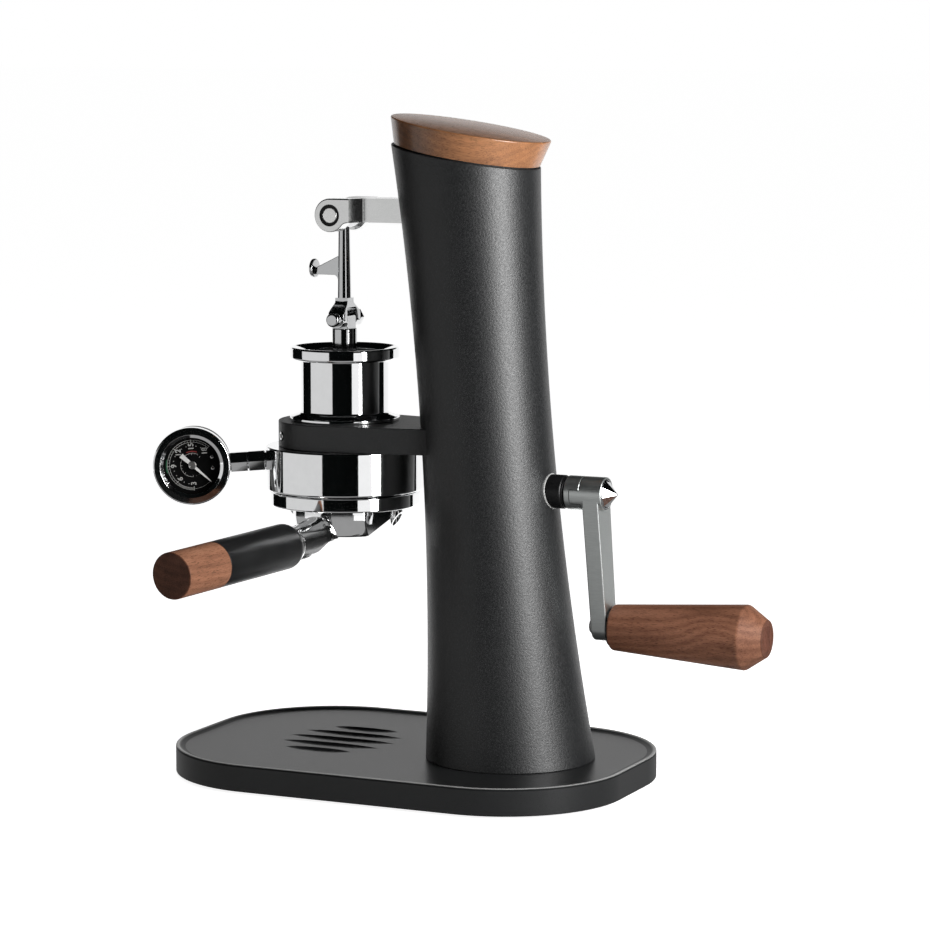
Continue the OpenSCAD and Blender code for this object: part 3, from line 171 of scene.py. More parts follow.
def softbox(name, azimuth, width, low, height, brightness, away=0.75):
    lamp = bpy.data.lights.new(name, "AREA")
    lamp.shape, lamp.size, lamp.size_y = "RECTANGLE", width, height
    lamp.energy = brightness * 4 * width * height
    box = placed(name, lamp)
    box.location, box.rotation_euler = facing(azimuth, away, low, height)
    box.visible_camera = False
    return box


def new_finish(name, colour, roughness, metallic=0.0, **more):
    """A material with plain values: it, its tree, its shader and the piece's coordinates."""
    finish = bpy.data.materials.new(name)
    finish.use_nodes = True
    tree = finish.node_tree
    shader = tree.nodes["Principled BSDF"]
    values = {"Base Color": (*colour, 1), "Roughness": roughness, "Metallic": metallic}
    values.update({key.replace("_", " "): value for key, value in more.items()})
    for key, value in values.items():
        shader.inputs[key].default_value = value
    return finish, tree, shader, wire(tree, "ShaderNodeTexCoord").outputs["Object"]


flag_black = new_finish("flag_black", (0.004, 0.005, 0.005), 0.5, Specular_IOR_Level=0.0)[0]
cloth_grey = new_finish("cloth_grey", (0, 0, 0), 0.5, Emission_Color=(1, 1, 1, 1),
    Emission_Strength=0.34, Specular_IOR_Level=0.0)[0]
softbox("softbox_crank_side", -14.0, 0.30, 0.17, 0.5, 17.0)
softbox("strip_crank_side", -18.5, 0.16, 0.0, 0.17, 7.0)
softbox("card_crank_side", -28.5, 0.44, 0.0, 0.32, 0.80)
brew_side = softbox("softbox_brew_side", -129.5, 1.0, 0.0, 0.36, 0.56)
brew_side.visible_diffuse = False
overhead = softbox("softbox_overhead", 0, 1.0, 0.0, 0.8, 0.8)
overhead.location, overhead.rotation_euler = (0.05, -0.1, 1.05), (0, 0, 0)
overhead.visible_glossy = False

tent_mesh = bpy.data.meshes.new("black_tent")
tent_r, tent_h, tent_foot, roof, panels = 0.95, 1.1, 0.0002, 3.0, 53
ribs = panels + 1
turns = [radians(-204 + 5 * k) for k in range(ribs)]
points = [(brew_x + tent_r * cos(a), tent_r * sin(a), z) for z in (tent_foot, tent_h)
    for a in turns]
points += [(-roof, -roof, tent_h), (roof, -roof, tent_h), (roof, roof, tent_h),
    (-roof, roof, tent_h), (brew_x, 0, tent_foot)]
walls = [(k, k + 1, k + 1 + ribs, k + ribs) for k in range(panels)]
floor = [(2 * ribs + 4, k, k + 1) for k in range(panels)]
tent_mesh.from_pydata(points, [], walls + [tuple(range(2 * ribs, 2 * ribs + 4))] + floor)
tent_mesh.materials.append(flag_black)
tent_mesh.materials.append(cloth_grey)
for face in tent_mesh.polygons[panels + 1:]:
    face.material_index = 1
tent = placed("black_tent", tent_mesh)
tent.visible_camera = tent.visible_diffuse = tent.visible_shadow = False
tent.visible_transmission = tent.visible_volume_scatter = False

# ---- Base tray ------------------------------------------------------------------------------
# A cast oblong tray with a thin lip, a sloping band inside it and a flat deck, powder-coated
# dark grey. Five lens-shaped drain grooves are milled into the deck under the outlets.


def moved(x=0, y=0, z=0):
    return Matrix.Translation((x, y, z))


def spun(degrees, axis):
    return Matrix.Rotation(radians(degrees), 4, axis)


def span(node):
    """Lowest and highest corner of a solid, in millimetres."""
    low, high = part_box(node)
    return low * 1000, high * 1000


def noise(tree, coords, scale, detail=2.0, roughness=0.5):
    return wire(tree, "ShaderNodeTexNoise", Vector=coords, Scale=scale, Detail=detail,
        Roughness=roughness).outputs["Fac"]


def ramp(tree, factor, *stops):
    """Colours or greys along a factor: stops of (place, colour)."""
    node = wire(tree, "ShaderNodeValToRGB", Fac=factor)
    marks = node.color_ramp.elements
    while len(marks) < len(stops):
        marks.new(0.5)
    for mark, (place, colour) in zip(marks, stops):
        mark.position = place
        mark.color = (colour, colour, colour, 1) if isinstance(colour, (int, float)) else (*colour,
            1)
    return node.outputs["Color"]


def mixed(tree, factor, one, other, blend="MIX"):
    """One colour mixed with another, or multiplied by it, as far as the factor says."""
    node = wire(tree, "ShaderNodeMix", {"data_type": "RGBA", "blend_type": blend})
    for place, value in ((0, factor), (6, one), (7, other)):
        put(tree, node.inputs[place], value)
    return node.outputs[2]


def bump(tree, shader, height, strength, depth, normal=None):
    node = wire(tree, "ShaderNodeBump", Height=height, Strength=strength, Distance=depth)
    if normal is not None:
        put(tree, node.inputs["Normal"], normal)
    put(tree, shader.inputs["Normal"], node.outputs["Normal"])
    return node.outputs["Normal"]


def graded(tree, shader, key, factor, *stops):
    """Sets one of a shader's inputs from a factor, by a ramp."""
    put(tree, shader.inputs[key], ramp(tree, factor, *stops))


def powder_coat(name, dark, light, grain, roughness, strength, **more):
    """Baked powder: fine grains that catch the light, with a slow cloud of tone over them."""
    finish, tree, shader, coords = new_finish(name, dark, roughness, **more)
    grains = noise(tree, coords, grain, 3.0, 0.65)
    clouds = noise(tree, coords, 26.0, 3.0)
    tone = Rule(tree, clouds).made("MULTIPLY_ADD", 0.35, Rule(tree, grains))
    graded(tree, shader, "Base Color", tone, (0.42, dark), (0.92, light))
    graded(tree, shader, "Roughness", grains, (0.3, roughness - 0.07), (0.7, roughness + 0.07))
    bump(tree, shader, grains, strength, 0.0003)
    return finish


def oblong(length, width, radius, inset, z, steps=28):
    """A loop round a box with rounded corners, drawn in by an inset."""
    loop = []
    for quarter, (sx, sy) in enumerate(((1, 1), (-1, 1), (-1, -1), (1, -1))):
        x, y = sx * (length / 2 - radius), sy * (width / 2 - radius)
        for i in range(steps + 1):
            a = (quarter + i / steps) * pi / 2
            loop.append((x + (radius - inset) * cos(a), y + (radius - inset) * sin(a), z))
    return loop


def eased(corners, steps=6):
    """A polygon with round corners. A corner is (x, y) or (x, y, radius)."""
    points = []
    for i, corner in enumerate(corners):
        here = Vector(corner[:2])
        if len(corner) < 3:
            points.append(tuple(here))
            continue
        u = (Vector(corners[i - 1][:2]) - here).normalized()
        v = (Vector(corners[(i + 1) % len(corners)][:2]) - here).normalized()
        half = acos(max(-1.0, min(1.0, u.dot(v)))) / 2
        run, turn = corner[2] / tan(half), pi - 2 * half
        centre = here + (u + v).normalized() * corner[2] / sin(half)
        first, last = here + u * run - centre, here + v * run - centre
        for k in range(steps + 1):
            t = k / steps
            points.append(tuple(centre + (first * sin((1 - t) * turn)
                + last * sin(t * turn)) / sin(turn)))
    return points


def lofted(loops, closed=False):
    """Points and faces of a skin over loops of equal count; an open skin has flat ends."""
    n, rows = len(loops[0]), len(loops)
    faces = []
    for k in range(rows if closed else rows - 1):
        a, b = k * n, (k + 1) % rows * n
        faces += [(a + i, a + (i + 1) % n, b + (i + 1) % n, b + i) for i in range(n)]
    if not closed:
        faces += [tuple(range(n))[::-1], tuple(range((rows - 1) * n, rows * n))]
    return [p for loop in loops for p in loop], faces


def solid(name, points, faces, place=Matrix()):
    """A closed mesh from points in millimetres, set in its place, with its faces outwards."""
    mesh = bpy.data.meshes.new(name)
    mesh.from_pydata([(place @ Vector(p)) * 0.001 for p in points], [], faces)
    tidy(mesh)
    return placed(name, mesh)


def tidy(mesh):
    """Merges doubled points and turns the faces outwards."""
    bm = bmesh.new()
    bm.from_mesh(mesh)
    bmesh.ops.remove_doubles(bm, verts=bm.verts, dist=5e-7)
    bmesh.ops.recalc_face_normals(bm, faces=bm.faces)
    bm.to_mesh(mesh)
    bm.free()


def settle(piece):
    """Takes a piece's modifiers into its mesh."""
    graph = bpy.context.evaluated_depsgraph_get()
    mesh, old = bpy.data.meshes.new_from_object(piece.evaluated_get(graph)), piece.data
    piece.modifiers.clear()
    piece.data = mesh
    bpy.data.meshes.remove(old)
    mesh.name = piece.name
    return piece


def fitted(piece, finish, body, slot, *nodes, sharp=30):
    """Shades a finished mesh, gives it its material and hangs it on its body for its solids."""
    mesh = piece.data
    if finish is not None:
        mesh.materials.clear()
        mesh.materials.append(finish)
    mesh.polygons.foreach_set("use_smooth", [True] * len(mesh.polygons))
    mesh.set_sharp_from_angle(angle=radians(sharp))
    piece.modifiers.new("normals", "WEIGHTED_NORMAL").keep_sharp = True
    settle(piece)
    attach(piece, body)
    if nodes:
        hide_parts(*nodes)
    return piece


def new_tree(name, **sizes):
    """A geometry tree with a named input for each size: the tree and its group's inputs."""
    tree = bpy.data.node_groups.new(name, "GeometryNodeTree")
    tree.interface.new_socket("Geometry", in_out="INPUT", socket_type="NodeSocketGeometry")
    tree.interface.new_socket("Geometry", in_out="OUTPUT", socket_type="NodeSocketGeometry")
    for key, value in sizes.items():
        kind = "NodeSocketInt" if isinstance(value, int) else "NodeSocketFloat"
        tree.interface.new_socket(key, in_out="INPUT", socket_type=kind)
    inputs = wire(tree, "NodeGroupInput").outputs
    return tree, {socket.name: Rule(tree, socket) for socket in inputs}


def end_tree(tree, geometry, finish):
    """Realizes the instances, sets the material and closes the tree."""
    real = wire(tree, "GeometryNodeRealizeInstances", Geometry=geometry)
    dressed = wire(tree, "GeometryNodeSetMaterial", Geometry=real.outputs[0], Material=finish)
    wire(tree, "NodeGroupOutput", Geometry=dressed.outputs[0])


def grown(piece, tree, **sizes):
    """Runs a tree on a piece and keeps the result as a plain mesh."""
    form = piece.modifiers.new("form", "NODES")
    form.node_group = tree
    for item in tree.interface.items_tree:
        if item.in_out == "INPUT" and item.name in sizes:
            form[item.identifier] = sizes[item.name]
    return settle(piece)


def blank(name):
    """An empty mesh for a tree to fill."""
    return placed(name, bpy.data.meshes.new(name))


tray_low, tray_high = span("base_tray")
tray_l, tray_w, tray_r = tray_high.x - tray_low.x, tray_high.y - tray_low.y, 68.0
tray_under, rim_z = tray_low.z, tray_high.z
deck_z, lip_w, band_w, tray_wall, ceiling_z = rim_z - 1.4, 1.3, 4.2, 5.0, rim_z - 5.9
tray_edge = eased([(5.0, tray_under), (0.0, tray_under, 0.7), (0.0, rim_z, 0.7),
    (lip_w, rim_z, 0.3), (lip_w + band_w, deck_z)])
tray_loops = [oblong(tray_l, tray_w, tray_r, inset, z) for inset, z in [(tray_wall, ceiling_z),
    *tray_edge]]
tray = solid("tray", *lofted(tray_loops))

tray_coat = powder_coat("tray_coat", (0.006, 0.0063, 0.0066), (0.012, 0.0125, 0.013), 2600.0, 0.34,
    0.08, Specular_IOR_Level=0.4)
tree = tray_coat.node_tree
shader = tree.nodes["Principled BSDF"]
own = wire(tree, "ShaderNodeTexCoord").outputs["Object"]
level = Rule(tree, wire(tree, "ShaderNodeSeparateXYZ", Vector=own).outputs["Z"])
# The top half-millimetre of the rim is painted pale grey: a painted highlight along the lip.
painted_rim_highlight = mixed(tree, (level - (rim_z - 0.5) / 1000) * 2400.0,
    shader.inputs["Base Color"].links[0].from_socket, (0.22, 0.22, 0.217, 1))
put(tree, shader.inputs["Base Color"], painted_rim_highlight)
rise = (level - deck_z / 1000) / ((rim_z - deck_z) / 1000)
graded(tree, shader, "Specular IOR Level", rise, (0.02, 0.4), (0.08, 0.05), (0.86, 0.05),
    (0.94, 0.4))
tree, sizes = new_tree("drain_grooves", Count=5, Length=0.067, Patch=0.038, Pitch=0.015,
    HalfWidth=0.0055, Round=0.0132, X=0.0, Y=0.0, Z=0.0)
number = Rule(tree, wire(tree, "GeometryNodeInputIndex").outputs[0])
across = (number - (sizes["Count"] - 1.0) / 2.0) * sizes["Pitch"]
share = across / sizes["Patch"]
half_length = (share * share * -1.0 + 1.0).made("SQRT") * sizes["Length"] / 2.0
dots = wire(tree, "GeometryNodePoints", Count=sizes["Count"])
middle = wire(tree, "ShaderNodeCombineXYZ", X=sizes["X"], Y=across + sizes["Y"], Z=sizes["Z"])
set_out = wire(tree, "GeometryNodeSetPosition", Geometry=dots.outputs[0],
    Position=middle.outputs[0])
cutter = wire(tree, "GeometryNodeMeshUVSphere", Segments=112, Rings=64, Radius=1.0)
stretch = wire(tree, "ShaderNodeCombineXYZ", Y=sizes["Round"], Z=sizes["Round"],
    X=half_length * sizes["Round"] / sizes["HalfWidth"])
cutters = wire(tree, "GeometryNodeInstanceOnPoints", Points=set_out.outputs[0],
    Instance=cutter.outputs[0], Scale=stretch.outputs[0])
real = wire(tree, "GeometryNodeRealizeInstances", Geometry=cutters.outputs[0])
milled = wire(tree, "GeometryNodeMeshBoolean", {"operation": "DIFFERENCE"})
put(tree, milled.inputs["Mesh 1"], sizes["Geometry"])
put(tree, milled.inputs["Mesh 2"], real.outputs[0])
end_tree(tree, milled.outputs[0], tray_coat)
grown(tray, tree, Count=5, Length=0.067, Patch=0.038, Pitch=0.015, HalfWidth=0.0055, Round=0.0132,
    X=brew_x - 0.0035, Y=0.002, Z=deck_z * 0.001 + 0.012)
fitted(tray, None, "base", "tray", "base_tray", sharp=24)

# ---- Base cover and feet --------------------------------------------------------------------
# A sheet-metal cover closes the tray from below, held by four screws. Four rubber feet plug
# into it and carry the machine.


def dressed(finish, *nodes):
    """Gives solids that show as they are a better material."""
    for node in nodes:
        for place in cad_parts[node].material_slots:
            place.material = finish


def brushed(name, colour, roughness, grain=(900.0, 900.0, 40.0), strength=0.06, metallic=1.0):
    """Satin metal: fine lines one way, with a soft cloud of polish."""
    finish, tree, shader, coords = new_finish(name, colour, roughness, metallic)
    lines = wire(tree, "ShaderNodeMapping", Vector=coords, Scale=grain).outputs[0]
    scratches = noise(tree, lines, 3.0, 4.0, 0.7)
    clouds = noise(tree, coords, 45.0, 2.0)
    blend = Rule(tree, clouds).made("MULTIPLY_ADD", 0.5, Rule(tree, scratches))
    graded(tree, shader, "Roughness", blend, (0.4, roughness - 0.06), (1.0, roughness + 0.08))
    pale = tuple(min(1.0, c * 1.08) for c in colour)
    dim = tuple(c * 0.92 for c in colour)
    graded(tree, shader, "Base Color", scratches, (0.3, dim), (0.7, pale))
    bump(tree, shader, scratches, strength, 0.0001)
    return finish


def moulded(name, colour, roughness, grain=1500.0, strength=0.08, **more):
    """Satin moulded plastic or rubber: an even fine grain and faint handling marks."""
    finish, tree, shader, coords = new_finish(name, colour, roughness, **more)
    grains = noise(tree, coords, grain, 2.0)
    marks = noise(tree, coords, 60.0, 4.0, 0.6)
    pale = tuple(c * 1.5 + 0.002 for c in colour)
    graded(tree, shader, "Base Color", marks, (0.35, colour), (0.75, pale))
    graded(tree, shader, "Roughness", marks, (0.3, roughness - 0.05), (0.7, roughness + 0.06))
    bump(tree, shader, grains, strength, 0.0002)
    return finish


steel = brushed("steel_satin", (0.56, 0.56, 0.55), 0.32)
rubber = moulded("rubber_black", (0.012, 0.012, 0.012), 0.75, strength=0.2)
cover_coat = powder_coat("cover_coat", (0.03, 0.031, 0.032), (0.05, 0.051, 0.052), 1800.0, 0.55,
    0.12)
dressed(cover_coat, "base_cover")
dressed(steel, "tower_screws")


def regular(sides, radius, turn=0.0):
    """The corners of a regular polygon, turned by part of a side."""
    turns = [(k + turn) * 2 * pi / sides for k in range(sides)]
    return [(radius * cos(a), radius * sin(a)) for a in turns]


def turned(name, profile, place=Matrix(), steps=96, soft=6):
    """A turned solid. A corner of its profile is (radius, height) or (radius, height, rounding)."""
    if any(len(corner) > 2 for corner in profile):
        profile = eased(profile, soft)
    on_axis = profile[0][0] < 1e-6 and profile[-1][0] < 1e-6
    points, faces = lofted([[(*p, h) for p in regular(steps, r)] for r, h in profile],
        closed=not on_axis)
    return solid(name, points, faces[:-2] if on_axis else faces, place)


def repeated(piece, name, spots, finish):
    """Sets one piece at each of a list of places with a geometry tree, as one plain mesh."""
    marks = blank(name)
    marks.data.from_pydata([Vector(p) * 0.001 for p in spots], [], [])
    tree, sizes = new_tree(name + "_set")
    shape = wire(tree, "GeometryNodeObjectInfo", Object=piece)
    copies = wire(tree, "GeometryNodeInstanceOnPoints", Points=sizes["Geometry"],
        Instance=shape.outputs["Geometry"])
    end_tree(tree, copies.outputs[0], finish)
    grown(marks, tree)
    bpy.data.objects.remove(piece)
    return marks


foot_high = span("rubber_feet")[1]
foot_r = 9.0
foot_x, foot_y = foot_high.x - foot_r, foot_high.y - foot_r
corners = [(sx * foot_x, sy * foot_y, 0) for sx in (-1, 1) for sy in (-1, 1)]
foot = turned("foot", [(0, 0.35), (4.0, 0.35, 0.3), (4.4, 0.0, 0.3), (foot_r, 0, 0.6),
    (foot_r, 1.49, 0.2), (5.9, 1.49), (5.9, 3.6, 0.4), (0, 3.6)], steps=48)
feet = repeated(foot, "feet", corners, rubber)
fitted(feet, None, "base", "rubber", "rubber_feet")

screw_high = span("cover_screws")[1]
head_r = 3.0
screw_spots = [(sx * (screw_high.x - head_r), sy * (screw_high.y - head_r), 0) for sx in (-1, 1)
    for sy in (-1, 1)]
cover_screw = turned("cover_screw", [(0, 1.05), (1.5, 1.05), (1.6, 0.62, 0.2), (head_r, 0.62, 0.5),
    (head_r, 1.49, 0.1), (1.6, 1.49), (1.6, 6.8), (0, 7.0)], steps=24)
fitted(repeated(cover_screw, "tray_screws", screw_spots, steel), None, "base", "steel",
    "cover_screws")

# ---- Tower shell ----------------------------------------------------------------------------
# A spun and drawn metal tube that leans towards the group, waisted on one large arc and cut to
# the deck and to the sloping cap. Fine-grained black powder coat. Slot and window on the brew side.
tower_coat = powder_coat("tower_coat", (0.004, 0.0044, 0.0047), (0.011, 0.0115, 0.012), 950.0, 0.42,
    0.5, Specular_IOR_Level=0.5)
lean, tilt = radians(4.5), radians(9.7)
tower_x, tower_h, cap_gap, tower_wall = tray_l / 2 - 73.5, 329.0, 1.2, 3.0
waist_r, waist_h, flare_r = 35.7, 202.0, 1900.0
cap_x, cap_z = tower_x - tower_h * tan(lean), deck_z + tower_h

tree, rule = new_tree("tower_form", Waist=1.0, WaistHeight=1.0, Flare=1.0, Lean=1.0, Tilt=1.0,
    Height=1.0, Gap=1.0, FootX=1.0, FootZ=1.0)


def tower_radius(height):
    drop = height - rule["WaistHeight"]
    return rule["Waist"] + drop * drop / (rule["Flare"] * 2.0)


grid = wire(tree, "GeometryNodeMeshGrid", {}, **{"Size X": 1.0, "Size Y": 1.0, "Vertices X": 193,
    "Vertices Y": 97})
here = wire(tree, "ShaderNodeSeparateXYZ", Vector=wire(tree,
    "GeometryNodeInputPosition").outputs[0]).outputs
round_turn = (Rule(tree, here["X"]) + 0.5) * (2 * pi)
east, north = round_turn.made("COSINE"), round_turn.made("SINE")
slope = (rule["Lean"] + rule["Tilt"]).made("TANGENT")
top = rule["Height"] / rule["Lean"].made("COSINE") - rule["Gap"] / (rule["Lean"]
    + rule["Tilt"]).made("COSINE")
foot_height = tower_radius(rule["Gap"] * 0.0) * east * rule["Lean"].made("TANGENT") * -1.0
near_top = top - tower_radius(top) * east * slope
top_height = top - tower_radius(near_top) * east * slope
height = foot_height + (top_height - foot_height) * (Rule(tree, here["Y"]) + 0.5)
radius = tower_radius(height)
upright, sideways = rule["Lean"].made("COSINE"), rule["Lean"].made("SINE")
wall = wire(tree, "ShaderNodeCombineXYZ", X=rule["FootX"] - height * sideways
    + radius * east * upright, Y=radius * north, Z=rule["FootZ"] + height * upright
    + radius * east * sideways)
shell = wire(tree, "GeometryNodeSetPosition", Geometry=grid.outputs[0], Position=wall.outputs[0])
seam = wire(tree, "GeometryNodeMergeByDistance", Geometry=shell.outputs[0], Distance=1e-6)
end_tree(tree, seam.outputs[0], tower_coat)
tower = grown(blank("tower"), tree, Waist=waist_r / 1000, WaistHeight=waist_h / 1000,
    Flare=flare_r / 1000, Lean=lean, Tilt=tilt, Height=tower_h / 1000, Gap=cap_gap / 1000 - 0.0005,
    FootX=tower_x / 1000, FootZ=deck_z / 1000 + 0.00002)
tidy(tower.data)
wall = tower.modifiers.new("wall", "SOLIDIFY")
wall.thickness, wall.offset = tower_wall / 1000, 1.0
rims = tower.modifiers.new("rims", "BEVEL")
rims.width, rims.segments, rims.limit_method, rims.angle_limit = 0.0005, 3, "ANGLE", radians(50)
settle(tower)
tidy(tower.data)


def drawn_in(outline, inset):
    """An outline that runs anticlockwise, moved inwards all round."""
    inner, n = [], len(outline)
    for i in range(n):
        a, b, c = (Vector(outline[(i + k) % n]) for k in (-1, 0, 1))
        d, e = (b - a).normalized(), (c - b).normalized()
        left = Vector((-d.y, d.x))
        way = (left + Vector((-e.y, e.x))).normalized()
        inner.append(b + way * inset / max(0.35, way.dot(left)))
    return inner


def slab(name, outline, low, high, place=Matrix(), edge=0.4, steps=4):
    """A plate: an outline of (x, y) points from low to high, with its rims rounded over."""
    area = sum(a[0] * b[1] - b[0] * a[1] for a, b in zip(outline, outline[1:] + outline[:1]))
    if area < 0:
        outline = outline[::-1]
    curve = [(edge * (1 - sin(k / steps * pi / 2)), edge * (1 - cos(k / steps * pi / 2)))
        for k in range(steps + 1)] if edge else [(0.0, 0.0)]
    rows = [(inset, low + rise) for inset, rise in curve] + [(inset, high - rise)
        for inset, rise in curve[::-1]]
    return solid(name, *lofted([[(*p, z) for p in drawn_in(outline, inset)] for inset, z in rows]),
        place)


def carve(piece, tool, operation="DIFFERENCE"):
    """Cuts a tool out of a piece, or joins it on, and drops the tool."""
    work = piece.modifiers.new("carve", "BOOLEAN")
    work.operation, work.solver, work.object = operation, "EXACT", tool
    settle(piece)
    bpy.data.objects.remove(tool)
    return piece


def cut(piece, outline, low, high, place=Matrix(), operation="DIFFERENCE"):
    """Cuts a plate with sharp edges out of a piece, or keeps only what lies in it."""
    return carve(piece, slab("cutter", outline, low, high, place, edge=0), operation)


def drilled(piece, radius, low, high, place, steps=48):
    """Bores a round hole along its place's upright axis."""
    return carve(piece, turned("hole", [(0, low), (radius, low), (radius, high), (0, high)], place,
        steps))


along_x = spun(90, "Y")
facing_x = Matrix(((0, 0, 1, 0), (1, 0, 0, 0), (0, 1, 0, 0), (0, 0, 0, 1)))
arm_low, arm_high = span("press_arm")
bar_low, bar_high, bar_w = arm_high.z - 13.1, arm_high.z, 16.0
slot_w, slot_low, slot_high = bar_w + 3, bar_low - 45, bar_high + 21
crank_z, hub_r = 163.4, 9.2
bracket_low, bracket_high = span("group_bracket")


def box_outline(x0, x1, y0, y1, radius):
    return eased([(x0, y0, radius), (x1, y0, radius), (x1, y1, radius), (x0, y1, radius)])


cut(tower, box_outline(-slot_w / 2, slot_w / 2, slot_low, slot_high, 1.5), -50, 20, facing_x)
cut(tower, box_outline(-20.2, 20.2, bracket_low.z - 0.2, bracket_high.z + 0.2, 0.6), -30, 20,
    facing_x)
drilled(tower, hub_r + 0.05, 60, 110, moved(0, 0, crank_z) @ along_x, 96)
fitted(tower, tower_coat, "base", "tower", "tower_shell")

# ---- Tower cap ------------------------------------------------------------------------------
# A turned walnut lid, wider at its crowned top, oiled and lacquered. It sits on a dark metal
# plate that leaves a shadow gap, and three screws pull it down from inside.


def walnut(name, place, tone=(1.0, 1.0, 1.0), heart=(0.0, 0.03), lean_in=0.1, figure=0.3,
        eye=(0, 0, -1), end=9.0, **more):
    """Walnut grained along its place's X: growth figure, fibres, pores, painted shade on the end
    face.
    """
    finish, tree, shader, coords = new_finish(name, (0.2, 0.09, 0.05), 0.5, **more)
    board = wire(tree, "ShaderNodeMapping", {"vector_type": "TEXTURE"}, Vector=coords,
        Location=place.to_translation() * 0.001, Rotation=place.to_euler()).outputs[0]

    def grain(x, across, detail, rough=0.55):
        long = wire(tree, "ShaderNodeMapping", Vector=board, Scale=(x, across, across)).outputs[0]
        return Rule(tree, noise(tree, long, 1.0, detail, rough))

    part = wire(tree, "ShaderNodeSeparateXYZ", Vector=board).outputs
    x, y, z = (Rule(tree, part[k]) for k in "XYZ")
    wander = grain(14.0, 55.0, 3.0) - 0.5
    off_y, off_z = y - heart[0], z - heart[1] - x * lean_in
    ring = (off_y * off_y + off_z * off_z).made("SQRT") * 1500.0 + wander * 9.0
    a, b, c = (x - eye[0]) * 0.6, y - eye[1], z - eye[2]
    ring = ring + ((a * a + b * b + c * c) * -9000.0).made("EXPONENT") * 11.0
    bands = ring.made("SINE") * 0.5 + 0.5
    fibres = grain(110.0, 1300.0, 3.0, 0.6)
    pores = grain(330.0, 2600.0, 2.0, 0.6)
    clouds = grain(16.0, 70.0, 3.0)
    tint = bands * figure + fibres * 0.4 + clouds * 0.8 - 0.28
    shades = [tuple(c * t for c, t in zip(shade, tone)) for shade in ((0.105, 0.039, 0.021),
        (0.215, 0.085, 0.048), (0.325, 0.145, 0.086))]
    wood = ramp(tree, tint, (0.15, shades[0]), (0.5, shades[1]), (0.9, shades[2]))
    holes = ramp(tree, pores, (0.34, 0.5), (0.46, 1.0))
    porous = mixed(tree, 1.0, wood, holes, "MULTIPLY")
    # Past end, the colour is halved: painted shade on the end face, which turns away from the
    # lamps.
    painted_end_shade = mixed(tree, (x - end) * 4000.0 + 0.5, porous, (0.5, 0.45, 0.46, 1), "MULTIPLY")
    put(tree, shader.inputs["Base Color"], painted_end_shade)
    graded(tree, shader, "Roughness", pores, (0.36, 0.7), (0.48, 0.48))
    deep = bump(tree, shader, holes, 0.3, 0.0001)
    bump(tree, shader, fibres, 0.1, 0.0001, deep)
    return finish


cap_place = moved(cap_x, 0, cap_z) @ Matrix.Rotation(tilt, 4, "Y")
cap_r, cap_top_r, cap_t, crown = 39.4, 43.3, 14.42, 1.4
dome_r = (cap_top_r ** 2 + crown ** 2) / (2 * crown)
dome = [(r, cap_t + crown - dome_r + sqrt(dome_r ** 2 - r ** 2))
    for r in [cap_top_r * (1 - k / 12) for k in range(13)]]
cap_walnut = walnut("cap_walnut", cap_place @ spun(20, "Z"), (1.2, 1.3, 0.92), heart=(0.01, -0.06),
    figure=0.08, Specular_IOR_Level=0.2, Coat_Weight=0.8, Coat_Roughness=0.22)
cap = turned("cap", [(0, 0.02), (cap_r, 0.02, 0.3), (*dome[0], 0.7), *dome[1:]],
    cap_place @ Matrix.Diagonal((1.02, 1.0, 1.0, 1.0)), steps=144)
fitted(cap, cap_walnut, "base", "walnut", "tower_cap")
plate_black = moulded("plate_black", (0.006, 0.006, 0.006), 0.7)
dressed(plate_black, "cap_plate")
dressed(steel, "cap_screws")

# ---- Drive inside the tower -----------------------------------------------------------------
# A machined frame on the tower's ledge holds two guide rods, bronze bushes and the left-hand
# lead screw. The crank's mitre gear turns the screw, whose nut draws the carriage up and down.
alloy = brushed("alloy_machined", (0.5, 0.51, 0.52), 0.42, (500.0, 60.0, 500.0), 0.1)
bronze = brushed("bronze_turned", (0.56, 0.36, 0.17), 0.35, (700.0, 700.0, 60.0), 0.08)
dressed(alloy, "gear_frame", "carriage")
dressed(steel, "frame_screws", "guide_rods", "screw_gear", "arm_screws", "crank_shaft",
    "drive_gear")
dressed(bronze, "screw_bushes", "drive_nut")

lead_low, lead_high = span("lead_screw")
screw_x = (lead_low.x + lead_high.x) / 2
screw_place = moved(screw_x, 0, 0)
journal, core_r, thread_r, lead = 4.5, 5.0, 0.95, 6.0
collar_z = bracket_low.z - 7.0
core = turned("lead_core", [(0, lead_low.z), (journal, lead_low.z), (journal, collar_z - 3.2),
    (6, collar_z - 3.2), (6, collar_z - 0.2), (journal, collar_z - 0.2),
    (journal, bracket_low.z + 0.2), (core_r, bracket_low.z + 0.2), (core_r, lead_high.z - 6),
    (journal, lead_high.z - 6), (journal, lead_high.z), (0, lead_high.z)], screw_place, steps=48)
thread_low, thread_high = bracket_low.z + 1.4, lead_high.z - 7.2
tree, sizes = new_tree("thread", Lead=0.006, Turns=1.0, Middle=1.0, Bead=1.0, X=1.0, Z=1.0)
coil = wire(tree, "GeometryNodeCurveSpiral", Resolution=40, Rotations=sizes["Turns"], Reverse=True,
    **{"Start Radius": sizes["Middle"], "End Radius": sizes["Middle"],
    "Height": (sizes["Turns"] * sizes["Lead"])})
bead = wire(tree, "GeometryNodeCurvePrimitiveCircle", Resolution=8, Radius=sizes["Bead"])
cord = wire(tree, "GeometryNodeCurveToMesh", Curve=coil.outputs[0])
put(tree, cord.inputs["Profile Curve"], bead.outputs[0])
cord.inputs["Fill Caps"].default_value = True
lift = wire(tree, "ShaderNodeCombineXYZ", X=sizes["X"], Z=sizes["Z"])
raised = wire(tree, "GeometryNodeSetPosition", Geometry=cord.outputs[0], Offset=lift.outputs[0])
both = wire(tree, "GeometryNodeJoinGeometry")
put(tree, both.inputs[0], sizes["Geometry"])
put(tree, both.inputs[0], raised.outputs[0])
end_tree(tree, both.outputs[0], steel)
grown(core, tree, Lead=lead / 1000, Turns=(thread_high - thread_low) / lead, Middle=core_r / 1000,
    Bead=thread_r / 1000, X=screw_x / 1000, Z=thread_low / 1000)
